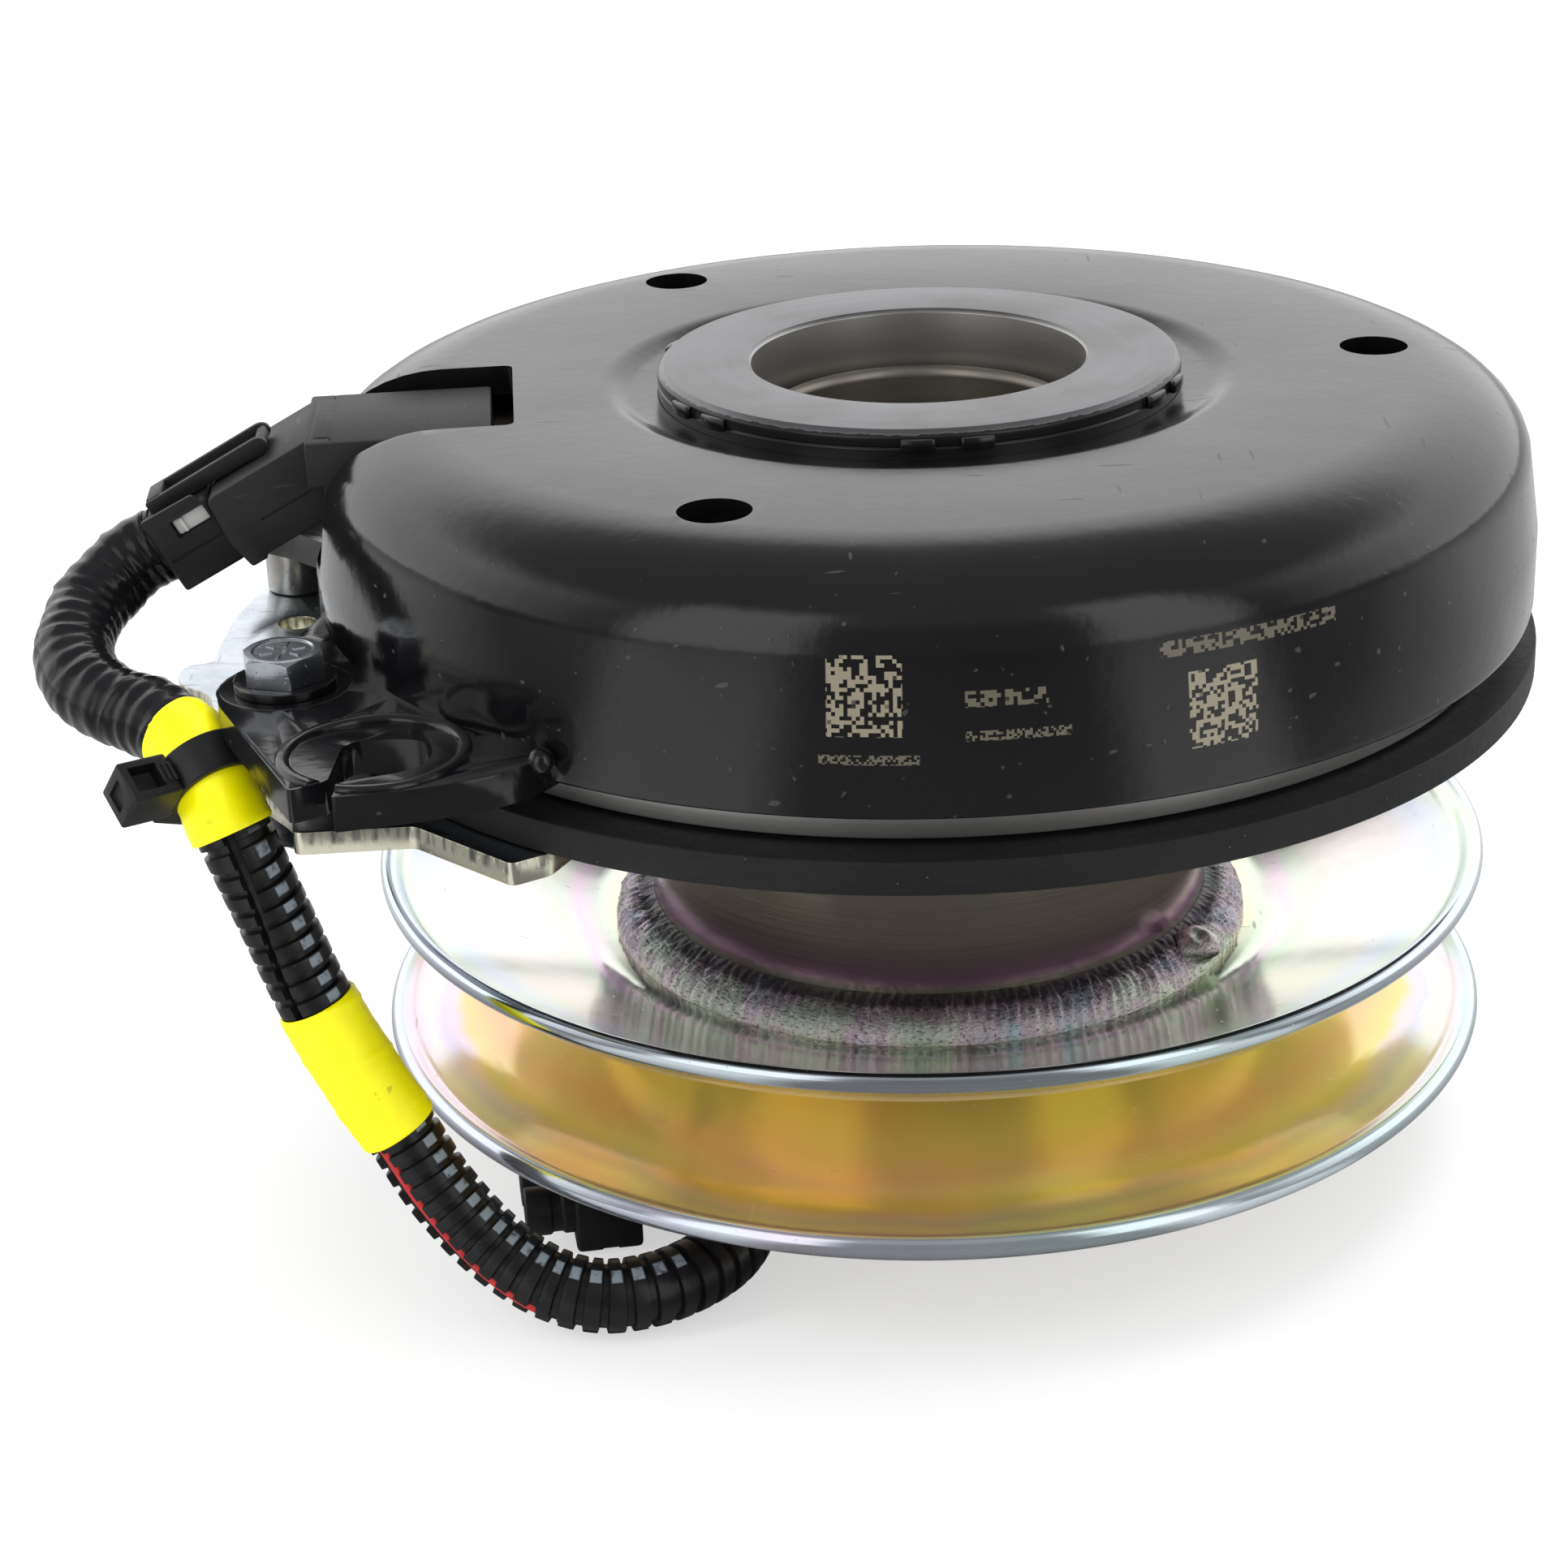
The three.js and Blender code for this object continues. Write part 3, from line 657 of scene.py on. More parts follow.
# %% [markdown]
# ## The ribbed tube
# The ribs are a wave in the radius with flat crests. The slit is a narrow
# valley that wanders round the tube: it faces out above the second tape, and
# gapes at the side below it, where a red wire shows.

# %% Ribbed tube with its slit
RIB = 3.1
RIB_PLACES = [(0.0, 0.97), (0.10, 1.0), (0.50, 1.0), (0.60, 0.97), (0.67, 0.0), (0.93, 0.0)]
CREST_R, VALLEY_R = 5.6 * MM, 4.75 * MM
SIDES = 52


def slit(mm):
    """Where the slit is at this length: its turn, half its width and its depth."""
    if mm < 117:
        turn = -0.05 - 0.42 * smooth((mm - 76) / 27)
        half = 0.085 + 0.06 * smooth((93 - mm) / 16)
        depth = smooth((mm - 72) / 4)
    else:
        turn = -0.98 - 0.25 * smooth((mm - 128) / 40)
        half = 0.10 + 0.26 * smooth((mm - 124) / 8) * smooth((172 - mm) / 14)
        depth = smooth((182 - mm) / 10)
    return turn, half, depth


def loom_rings():
    """Six rings to a rib: four on its flat crest and two in the valley."""
    rings, at = [], []
    total = LOOM_LENGTH / MM
    for rib in range(math.ceil(total / RIB)):
        for place, lift in RIB_PLACES:
            mm = (rib + place) * RIB
            if mm <= total:
                at.append((mm, VALLEY_R + (CREST_R - VALLEY_R) * lift))
    at.append((total, CREST_R))
    for mm, radius in at:
        i = round(mm / total * (RING_COUNT - 1))
        middle, half, depth = slit(mm)
        floor = radius + (4.25 * MM - radius) * depth
        ring = []
        for turn, r in [(-half - 0.03, radius), (-half + 0.03, floor), (0, floor),
                        (half - 0.03, floor), (half + 0.03, radius)]:
            ring.append(ring_at(i, middle + turn, r))
        rest = SIDES - 5
        for k in range(1, rest + 1):
            turn = half + 0.03 + (2 * math.pi - 2 * half - 0.06) * k / (rest + 1)
            ring.append(ring_at(i, middle + turn, radius))
        rings.append(ring)
    return rings, [mm for mm, radius in at]


LOOM_RINGS, RING_MM = loom_rings()
loom = tube_mesh("ribbed_loom", LOOM_RINGS)


def map_along(obj):
    """Writes turn and length into the piece's own map, corner by corner."""
    layer = obj.data.uv_layers.new(name="along")
    for polygon in obj.data.polygons:
        for corner in polygon.loop_indices:
            vertex = obj.data.loops[corner].vertex_index
            share = RING_MM[vertex // SIDES] * MM / LOOM_LENGTH
            p, along, face, across = FRAMES[round(share * (RING_COUNT - 1))]
            out = obj.data.vertices[vertex].co - p
            turn = math.atan2(out.dot(across), out.dot(face)) / (2 * math.pi) + 0.5
            layer.data[corner].uv = (turn, share)


map_along(loom)
LOOM_FINISH = loom_finish(LOOM_LENGTH)
loom.data.materials.append(LOOM_FINISH.material)
print("loom has", len(loom.data.polygons), "faces")

# %% [markdown]
# ## Tapes over the tube
# Each tape is its own sleeve. The black one is wound tight, so the ribs show
# through as ripples, and its overlaps run round as a slow spiral. The yellow
# ones are thicker, smoother and a little creased.

# %% Tape sleeves
def sleeve(name, start, stop, radius, ripple, wander, finish, sides=48):
    outer, inner = [], []
    seed = start * 0.37
    first, last = at_length(start), at_length(stop)
    for i in range(first, last + 1, 2):
        mm = i * LOOM_LENGTH / (RING_COUNT - 1) / MM
        crest = math.sin(2 * math.pi * mm / RIB)
        edge = min(i - first, last - i) // 2
        lip = 0.25 if edge == 0 else 0.0
        out_ring, in_ring = [], []
        for k in range(sides):
            turn = 2 * math.pi * k / sides
            bend = noise.noise(Vector((math.cos(turn) * 1.4, math.sin(turn) * 1.4, mm * 0.16 + seed)))
            wrap = ((mm - turn * 1.5) / 9.5) % 1.0
            step = 0.16 * smooth((wrap - 0.9) / 0.08)
            r = radius + ripple * crest + wander * bend + step - lip
            out_ring.append(ring_at(i, turn, r * MM))
            in_ring.append(ring_at(i, turn, 5.62 * MM))
        outer.append(out_ring)
        inner.append(in_ring)
    obj = tube_mesh(name, outer + inner[::-1], loop=True)
    obj.data.materials.append(finish.material)
    return obj


black_tape = sleeve("black_tape_wrap", 0.8, 58, 6.0, 0.10, 0.34, BLACK_TAPE)
yellow_tape_upper = sleeve("yellow_tape_upper", 56.6, 75.6, 6.25, 0.04, 0.22, YELLOW_TAPE)
yellow_tape_lower = sleeve("yellow_tape_lower", 104.5, 128, 6.2, 0.03, 0.12, YELLOW_TAPE)


def red_wire():
    rings = []
    for i in range(at_length(122), at_length(162), 4):
        mm = i * LOOM_LENGTH / (RING_COUNT - 1) / MM
        middle = slit(mm)[0] + 0.12
        centre = ring_at(i, middle, (4.1 + 0.2 * math.sin(mm * 0.12)) * MM)
        p, along, face, across = FRAMES[i]
        rings.append([centre + (face * math.cos(a) + across * math.sin(a)) * 0.95 * MM
                      for a in (2 * math.pi * k / 12 for k in range(12))])
    obj = tube_mesh("red_wire", rings)
    obj.data.materials.append(RED_WIRE.material)
    return obj


wire_in_slit = red_wire()
WRAPS = [black_tape, yellow_tape_upper, yellow_tape_lower, wire_in_slit]
print("tapes and wire:", [o.name for o in WRAPS])

# %% [markdown]
# ## Modelling by operators
# Most of this object is turned, so most pieces are a half outline spun round
# the shaft. Plates are a closed outline, filled and pulled up. Blocks start as
# a cube whose edges are bevelled. Holes and joins are Boolean modifiers, applied.

# %% Selecting and starting clean
def start_clean():
    if bpy.context.mode != "OBJECT":
        bpy.ops.object.mode_set(mode="OBJECT")
    bpy.ops.object.select_all(action="DESELECT")


def take(obj):
    """Makes this the only selected object, and the active one."""
    start_clean()
    obj.select_set(True)
    bpy.context.view_layer.objects.active = obj
    return obj


def polar(r, degrees, z=0.0):
    a = math.radians(degrees)
    return Vector((r * math.cos(a), r * math.sin(a), z)) * MM


def wire(points, closed=True):
    """Edges through points, drawn by extruding one vertex, left in edit mode."""
    start_clean()
    bpy.ops.mesh.primitive_plane_add(size=0.002)
    bpy.ops.object.mode_set(mode="EDIT")
    bpy.ops.mesh.select_all(action="SELECT")
    bpy.ops.mesh.merge(type="CENTER")
    bpy.ops.transform.translate(value=points[0])
    for before, after in zip(points, points[1:]):
        bpy.ops.mesh.extrude_region_move(TRANSFORM_OT_translate={"value": after - before})
    obj = bpy.context.object
    if closed:
        work = bmesh.from_edit_mesh(obj.data)
        for v in work.verts:
            v.select_set(len(v.link_edges) == 1)
        bmesh.update_edit_mesh(obj.data)
        bpy.ops.mesh.edge_face_add()
    bpy.ops.mesh.select_all(action="SELECT")
    return obj


def rounded(outline, default=0.3, steps=3, closed=True):
    """Each corner (a, b) or (a, b, radius) becomes a short curve."""
    points = [Vector(p[:2]) for p in outline]
    sizes = [p[2] if len(p) > 2 else default for p in outline]
    result = []
    count = len(points)
    for i, (corner, size) in enumerate(zip(points, sizes)):
        before, after = points[i - 1], points[(i + 1) % count]
        ends = not closed and i in (0, count - 1)
        if size <= 0 or ends:
            result.append(corner)
            continue
        back, on = before - corner, after - corner
        a = corner + back.normalized() * min(size, back.length * 0.45)
        b = corner + on.normalized() * min(size, on.length * 0.45)
        for k in range(steps + 1):
            t = k / steps
            result.append(a * (1 - t) ** 2 + corner * 2 * t * (1 - t) + b * t * t)
    return result


def spun(name, outline, steps=144, soft=0.3, closed=True, sweep=360, start=0):
    """A half outline of (radius, height) in mm, spun round the shaft."""
    way = Vector((math.cos(math.radians(start)), math.sin(math.radians(start)), 0))
    flat = rounded(outline, soft, closed=closed)
    obj = wire([(way * p[0] + Vector((0, 0, p[1]))) * MM for p in flat], closed)
    bpy.ops.mesh.spin(steps=steps, angle=math.radians(sweep), center=(0, 0, 0), axis=(0, 0, 1))
    bpy.ops.mesh.select_all(action="SELECT")
    bpy.ops.mesh.remove_doubles(threshold=2e-6)
    if sweep < 360:
        bpy.ops.mesh.fill_holes(sides=0)
    bpy.ops.mesh.select_all(action="SELECT")
    bpy.ops.mesh.normals_make_consistent(inside=False)
    bpy.ops.object.mode_set(mode="OBJECT")
    obj.name = name
    return obj


def slab(name, outline, low, high, soft=0.0, bevel=0.0, steps=3):
    """A plan outline in mm, filled and pulled up from low to high."""
    flat = rounded(outline, soft, steps) if soft else [Vector(p[:2]) for p in outline]
    obj = wire([Vector((p[0], p[1], low)) * MM for p in flat])
    bpy.ops.mesh.edge_face_add()
    move = {"value": (0, 0, (high - low) * MM)}
    bpy.ops.mesh.extrude_region_move(TRANSFORM_OT_translate=move)
    bpy.ops.mesh.select_all(action="SELECT")
    bpy.ops.mesh.normals_make_consistent(inside=False)
    bpy.ops.object.mode_set(mode="OBJECT")
    obj.name = name
    if bevel:
        ease(obj, bevel)
    return obj


def ease(obj, width, segments=2, angle=40):
    """Rounds every sharp edge with a bevel modifier, and applies it."""
    take(obj)
    modifier = obj.modifiers.new("ease", "BEVEL")
    modifier.width = width * MM
    modifier.segments = segments
    modifier.angle_limit = math.radians(angle)
    modifier.use_clamp_overlap = True
    bpy.ops.object.modifier_apply(modifier=modifier.name)
    return obj


def block(name, x, y, z, bevel=0.4, segments=2):
    """A box between two limits on each axis in mm, its edges bevelled."""
    start_clean()
    spans = [(b - a) * MM for a, b in (x, y, z)]
    middle = [(a + b) / 2 * MM for a, b in (x, y, z)]
    bpy.ops.mesh.primitive_cube_add(size=1, location=middle, scale=spans)
    obj = bpy.context.object
    bpy.ops.object.transform_apply(location=True, rotation=True, scale=True)
    if bevel:
        bpy.ops.object.mode_set(mode="EDIT")
        bpy.ops.mesh.select_all(action="SELECT")
        bpy.ops.mesh.bevel(offset=bevel * MM, segments=segments, affect="EDGES")
        bpy.ops.object.mode_set(mode="OBJECT")
    obj.name = name
    return obj


def drill(x, y, r, low, high, sides=40):
    """A round cutter in mm."""
    start_clean()
    place = Vector((x, y, (low + high) / 2)) * MM
    bpy.ops.mesh.primitive_cylinder_add(vertices=sides, radius=r * MM,
                                        depth=(high - low) * MM, location=place)
    bpy.ops.object.transform_apply(location=True, rotation=True, scale=True)
    return bpy.context.object


def combine(obj, kind, tools):
    """kind is DIFFERENCE, UNION or INTERSECT. The tools are used up."""
    for tool in tools:
        take(obj)
        modifier = obj.modifiers.new("combine", "BOOLEAN")
        modifier.operation = kind
        modifier.object = tool
        modifier.solver = "EXACT"
        bpy.ops.object.modifier_apply(modifier=modifier.name)
        bpy.data.objects.remove(tool)
    return obj


def joined(name, parts):
    """Several loose parts as one object."""
    take(parts[0])
    for part in parts:
        part.select_set(True)
    bpy.ops.object.join()
    bpy.context.object.name = name
    return bpy.context.object


def placed(obj, turn=None, move=(0, 0, 0)):
    """Turns and moves a piece, then puts its place into its mesh."""
    take(obj)
    if turn is not None:
        obj.matrix_world = turn @ obj.matrix_world
    obj.matrix_world = Matrix.Translation(Vector(move) * MM) @ obj.matrix_world
    bpy.ops.object.transform_apply(location=True, rotation=True, scale=True)
    return obj


def twin(obj, name, move=(0, 0, 0), turn=None):
    """A copy with its own mesh."""
    other = obj.copy()
    other.data = obj.data.copy()
    other.name = name
    bpy.context.scene.collection.objects.link(other)
    return placed(other, turn, move)


def done(obj, body, slot, finish, *nodes, angle=35):
    """Smooths, paints and hands a piece to its body."""
    take(obj)
    bpy.ops.object.shade_smooth_by_angle(angle=math.radians(angle))
    if finish is not None:
        obj.data.materials.clear()
        obj.data.materials.append(finish.material)
    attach(obj, body)
    if nodes:
        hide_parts(*nodes)
    return obj


print("modelling helpers are ready")

# %% [markdown]
# ## The cup
# The cup is pressed from thick sheet: a flat top, a round shoulder, a plain
# skirt, a notch for the coil's lead and two ears at the foot. The turned part
# is spun, the ears are slabs with a flared root, and Booleans make it one.

# %% Cup outline
CARRIER_R = 40.6
SHELL_TOP = 127.2


def shoulder(inset, count=9):
    points = []
    for i in range(count + 1):
        a = math.radians(90 * i / count)
        points.append((75.9 + (18 - inset) * math.sin(a),
                       SHELL_TOP - 12 + (12 - inset) * math.cos(a), 0))
    return points


CUP_OUTLINE = [
    (40.7, 125.5, 0), (45.5, 125.8, 0.8), (48.5, SHELL_TOP, 1.2), *shoulder(0),
    (95.3, 105.0, 0), (95.3, 94.4, 0), (95.0, 92.9, 0.5), (91.0, 92.9, 0.5), (90.7, 95, 0),
    *shoulder(4.6)[::-1], (50, 122.6, 0), (40.7, 121.8, 0)]

EAR_FRONT = [
    (-86, -4, 0), (-93.6, -19.2, 4), (-96, -28, 2), (-100, -37, 3), (-105.5, -45.2, 4),
    (-104.6, -54, 3), (-90.2, -87.1, 1.2), (-85.2, -84, 1.0), (-84.6, -72.5, 1.5),
    (-83.2, -70.4, 1.4), (-75.5, -70, 2.2), (-72.2, -72, 1.8), (-71.5, -76, 2),
    (-72.5, -80, 1.8), (-75.5, -82, 1.8), (-83.6, -84.8, 0.6), (-84.1, -90.4, 0.8),
    (-71, -87.6, 4), (-62.5, -84.6, 3), (-57.2, -80.2, 1.5), (-52, -73, 0), (-62, -62, 0)]
EAR_BACK = [
    (-88, 8, 0), (-95.5, 14, 3), (-104, 23, 4), (-112.5, 29, 4), (-115.5, 38, 5),
    (-112, 47, 4), (-103, 51, 3), (-93, 52, 4), (-84, 56, 4), (-76, 62, 3), (-66, 66, 0),
    (-70, 40, 0)]
BOLTS = [(-95.3, -48), (-105.2, 38.5)]
SLOT_EYE = (-79.9, -74.7)
print("cup outline has", len(CUP_OUTLINE), "points")


# %% Flared roots, embossed ring and bolt seats
def flare(start, sweep, reach):
    """The skirt bending out into an ear: a wedge with a hollow face."""
    outline = [(92.6, 93.6, 0), (95.3 + reach, 93.6, 0), (95.3 + reach, 97.25, 0)]
    for i in range(1, 8):
        a = math.radians(90 * i / 8)
        outline.append((95.3 + reach * (1 - math.sin(a)), 97.25 + reach * 1.15 * (1 - math.cos(a)), 0))
    outline += [(95.25, 97.25 + reach * 1.15, 0), (92.6, 97.25 + reach * 1.15, 0)]
    wedge = spun("flare", outline, steps=round(sweep / 2), sweep=sweep, start=start)
    for vertex in wedge.data.vertices:
        x, y, z = vertex.co / MM
        share = (math.degrees(math.atan2(y, x)) - start) % 360
        keep = smooth(share / (sweep * 0.22)) * smooth((sweep - share) / (sweep * 0.62))
        keep = 0.03 + 0.97 * keep if share <= sweep + 1 else 0.03
        r = math.hypot(x, y)
        near = 1 if r <= 95.2 else (95.2 + (r - 95.2) * keep) / r
        high = z if z <= 97.25 else 97.25 + (z - 97.25) * keep
        vertex.co = Vector((x * near, y * near, high)) * MM
    return wedge


def pinch(degrees):
    """The small knob of metal that is squeezed up where an ear ends."""
    start_clean()
    bpy.ops.mesh.primitive_uv_sphere_add(segments=24, ring_count=16, radius=1.9 * MM,
                                         location=polar(97.0, degrees, 96.9))
    bpy.ops.object.transform_apply(location=True, rotation=True, scale=True)
    return bpy.context.object


def ear(outline):
    plate = slab("ear", outline, 92.35, 97.3, soft=0.6)
    bore = drill(0, 0, 91.2, 80, 110, 144)
    return combine(plate, "DIFFERENCE", [bore])


def embossed_ring():
    """A raised bead round the slot, kept only where the ear is under it."""
    x, y = SLOT_EYE
    ring = spun("bead", [(11.4, 97.0, 0), (13.9, 97.0, 0), (13.4, 97.9, 0.4),
                         (12.0, 97.9, 0.4)], steps=64)
    placed(ring, move=(x, y, 0))
    inside = [(px * 0.994 + x * 0.006, py * 0.994 + y * 0.006, s)
              for px, py, s in EAR_FRONT]
    return combine(ring, "INTERSECT", [slab("ear_area", inside, 96, 99, soft=0.6)])


def bolt_seat(x, y):
    seat = spun("seat", [(3.2, 97.0, 0), (10.2, 97.0, 0), (9.6, 97.35, 0.2),
                         (3.2, 97.35, 0)], steps=64)
    return placed(seat, move=(x, y, 0))


# %% Build the cup
cup = spun("field_cup", CUP_OUTLINE, steps=180)
combine(cup, "UNION", [ear(EAR_FRONT), ear(EAR_BACK)])
combine(cup, "UNION", [flare(-176, 51, 8.5), flare(140, 34, 5.5), pinch(-125.6)])
notch = block("notch", (63, 120), (-16.2, 16.2), (102.3, 140), bevel=1.4, segments=3)
cutters = [placed(notch, Matrix.Rotation(math.radians(184), 4, "Z"))]
for degrees in (122.5, 3.5, -116):
    x, y, _ = polar(71.8, degrees) / MM
    cutters.append(drill(x, y, 5.3, 110, 140))
cutters += [drill(x, y, 3.4, 88, 100) for x, y in BOLTS]
combine(cup, "DIFFERENCE", cutters)
combine(cup, "UNION", [embossed_ring()])
ease(cup, 0.35, 2, 50)
done(cup, "field", "black_paint", CUP_ENAMEL, "field_shell", angle=38)
for n, (x, y) in enumerate(BOLTS):
    done(bolt_seat(x, y), "field", "black_paint", ENAMEL).name = f"bolt_seat_{n + 1}"
print("cup has", len(cup.data.polygons), "faces")

# %% [markdown]
# ## The steel ring and the bearings
# The ring holds the field bearing and is staked into the cup: pairs of small
# pressed tongues show round its side. The races and seals are spun from their
# real sections, with a groove where the balls run.

# %% Ring, races and seals
ring = spun("carrier_ring", [
    (36.1, 95, 0.4), (40.6, 95, 0.4), (40.6, 127.2, 0.1), (40.35, 127.45, 0.1),
    (40.6, 127.7, 0.1), (40.6, 129.0, 0.15), (39.6, 130, 0.15), (26.6, 130, 0.1),
    (26, 129.4, 0.1), (26, 117, 0.2), (33, 117, 0.2), (33, 113.7, 0.2), (36.1, 113.7, 0.2)], 180)
done(ring, "field", "turned_steel", RING_FINISH, "bearing_carrier", angle=25)


def stake(degrees):
    """A tongue of ring metal, pushed out and down over the cup's edge."""
    tongue = slab("stake", [(40.3, -2.5, 0), (41.5, -2.6, 0.5), (41.8, 0, 0.4),
                            (41.5, 2.6, 0.5), (40.3, 2.5, 0)], 127.0, 128.9, soft=0.3, bevel=0.35)
    return placed(tongue, Matrix.Rotation(math.radians(degrees), 4, "Z"))


stakes = []
for k in range(6):
    for side in (-6.1, 6.1):
        stakes.append(stake(-87 + 60 * k + side))
done(joined("stake_marks", stakes), "field", "black_paint", ENAMEL)


def race(name, r0, r1, z0, z1, ball_at, ball_r, body, outer, node):
    """A bearing race: a ring with a round groove towards the balls."""
    middle = (z0 + z1) / 2
    face, back = (r0, r1) if outer else (r1, r0)
    groove = []
    for i in range(7):
        a = math.radians(-50 + 100 * i / 6)
        sign = 1 if outer else -1
        groove.append((ball_at + sign * ball_r * math.cos(a), middle + ball_r * math.sin(a), 0))
    groove = [p for p in groove if (p[0] - face) * (1 if outer else -1) > 0]
    outline = [(back, z0, 0.5), (face, z0, 0.3), *groove, (face, z1, 0.3), (back, z1, 0.5)]
    done(spun(name, outline, 96), body, "steel", RACE_STEEL, node)


race("field_outer_race", 32.6, 35.9, 101.6, 113.6, 30.5, 2.75, "field", True,
     "field_bearing_outer")
race("field_inner_race", 25.4, 28.4, 101.6, 113.6, 30.5, 2.75, "rotor", False,
     "field_bearing_inner")
race("pulley_outer_race", 27.2, 30.9, 44, 64, 24.2, 4.05, "pulley", True,
     "pulley_bearing_outer")
race("pulley_inner_race", 17.75, 21.2, 44, 64, 24.2, 4.05, "rotor", False,
     "pulley_bearing_inner")


def seal(name, r0, r1, z0, z1, body, node):
    """A pressed seal with a shallow step half way out."""
    middle = (r0 + r1) / 2
    rise = (z1 - z0) * 0.35
    outline = [(r0, z0), (middle - 0.4, z0), (middle, z0 + rise), (r1, z0 + rise),
               (r1, z1), (r0, z1)]
    done(spun(name, outline, 96, 0.15), body, "seal_rubber", SEAL, node)


seal("field_seal_lower", 28.7, 32.3, 101.7, 102.4, "field", "field_bearing_seal_lower")
seal("field_seal_upper", 28.7, 32.3, 112.8, 113.5, "field", "field_bearing_seal_upper")
seal("pulley_seal", 21.5, 26.9, 44.1, 44.8, "pulley", "pulley_bearing_seal")
print("ring, races and seals are in")

# %% [markdown]
# ## The rotor and the hub collar
# The rotor carries the friction face and a keyed hub that shows as a rounded
# lip inside the ring. Its section is spun, then the keyway and the six flux
# slots are cut through.

# %% Rotor and collar
def keyway(low, high):
    return block("key", (0, 17.2), (-3.2, 3.2), (low, high), bevel=0)


def flux_slot(k):
    points = [polar(66.8, 60 * k + a) / MM for a in range(-22, 23, 4)]
    points += [polar(63.2, 60 * k + a) / MM for a in range(22, -23, -4)]
    return slab("flux", [(p.x, p.y) for p in points], 80, 96)


rotor = spun("rotor_disc_turned", [
    (14.29, 64.2, 0.4), (21, 64.2, 0.4), (21, 78, 1), (30, 87.75, 1), (89.6, 87.75, 0.3),
    (89.6, 101, 0.5), (84.5, 101, 0.5), (84.5, 93.5, 1.2), (47, 93.5, 1.2), (47, 99.5, 0.5),
    (41.6, 99.5, 0.5), (41.6, 93.2, 1), (29.5, 93.2, 1), (27.5, 101.5, 0.3), (25, 101.5, 0.1),
    (25, 119.4, 0.3), (24.6, 120.7, 0.6), (23.9, 121.3, 0.6), (22.9, 121.2, 0.5),
    (22.2, 120.2, 0.5), (22.2, 110.2, 0.4), (14.29, 110.2, 0.8)], 144)
combine(rotor, "DIFFERENCE", [keyway(50, 115)] + [flux_slot(k) for k in range(6)])
done(rotor, "rotor", "raw_iron", HUB_STEEL, "rotor_disc", angle=30)

collar = spun("hub_collar_turned", [
    (14.29, 0, 0.9), (24, 0, 1.0), (24, 20, 0), (23.7, 20.3, 0), (23.7, 22.3, 0), (24, 22.6, 0),
    (24, 43.6, 0.4), (17.4, 43.6, 0.4), (17.4, 64, 0.3), (14.29, 64, 0.3)], 120)
combine(collar, "DIFFERENCE", [keyway(-1, 70)])
done(collar, "rotor", "raw_iron", COLLAR_STEEL, "hub_collar", angle=30)

# %% [markdown]
# ## The armature
# A thick sheared disc that the magnet pulls up. Its rim is dull and dark, with
# a slightly broken edge.

# %% Armature disc and rim slots
def armature_slot(k):
    points = [polar(70, 120 * k + a) / MM for a in range(80, 151, 5)]
    points += [polar(66, 120 * k + a) / MM for a in range(150, 79, -5)]
    return slab("gap", [(p.x, p.y) for p in points], 70, 95)


armature = spun("armature_plate", [
    (34, 82.1, 0.5), (96.06, 82.1, 0.6), (96.06, 87.2, 0.45), (34, 87.2, 0.5)], 180)
cutters = []
for k in range(3):
    x, y, _ = polar(60, 120 * k + 62) / MM
    cutters.append(drill(x, y, 2.7, 70, 95))
    x, y, _ = polar(39, 120 * k) / MM
    cutters.append(drill(x, y, 5.8, 70, 95))
    cutters.append(armature_slot(k))
combine(armature, "DIFFERENCE", cutters)
done(armature, "armature", "raw_iron", ARMATURE_IRON, "armature_disc", angle=30)
print("rotor, collar and armature are in")

# %% [markdown]
# ## The pulley
# Two pressed halves and a weld on a turned hub. The rims are rolled over, so
# their section ends in a round bead. The weld is a spun bead whose surface is
# combed into ripples, with a blob where the pass ended.

# %% Hub and sheaves
hub = spun("pulley_hub_turned", [
    (31.1, 29.6, 0.5), (45.4, 29.6, 0.8), (45.4, 78.2, 0.8), (44.6, 79, 0.3), (29, 79, 0.3),
    (27, 77, 0.3), (27, 64.2, 0.2), (31.1, 64.2, 0.2), (31.1, 42.4, 0.1), (32.6, 42.4, 0.1),
    (32.6, 40.6, 0.1), (31.1, 40.6, 0.1)], 180)
holes = [polar(39, a) / MM for a in (0, 120, 240)]
combine(hub, "DIFFERENCE", [drill(p.x, p.y, 2.7, 71.8, 90) for p in holes])
done(hub, "pulley", "steel", HUB_BRONZE, "pulley_hub", angle=25)

upper = spun("upper_sheave_pressed", [
    (45.45, 32.8, 0), (56.6, 32.8, 2), (85.4, 44.9, 1.5), (87.8, 47.2, 1), (89.3, 48.2, 0.8),
    (89.9, 49.6, 0.9), (89.5, 50.9, 0.6), (88.4, 51.3, 0.6), (87.3, 50.6, 0.7),
    (86.0, 48.5, 1.0), (55.6, 36, 1.6), (45.45, 36, 0)], 192)
done(upper, "pulley", "zinc_yellow", UPPER_ZINC, "upper_sheave", angle=50)

lower = spun("lower_sheave_pressed", [
    (45.45, 29.55, 0), (56, 29.55, 2), (77.4, 20.2, 3), (86.6, 19.9, 1), (89.2, 21.1, 1),
    (90.3, 22.6, 1), (89.9, 24.2, 0.7), (88.8, 25, 0.7), (87.6, 24.3, 0.8),
    (86.2, 23.2, 1), (78, 23.4, 2.4), (56.8, 32.75, 2), (45.45, 32.75, 0)], 192)
done(lower, "pulley", "zinc_yellow", LOWER_ZINC, "lower_sheave", angle=50)

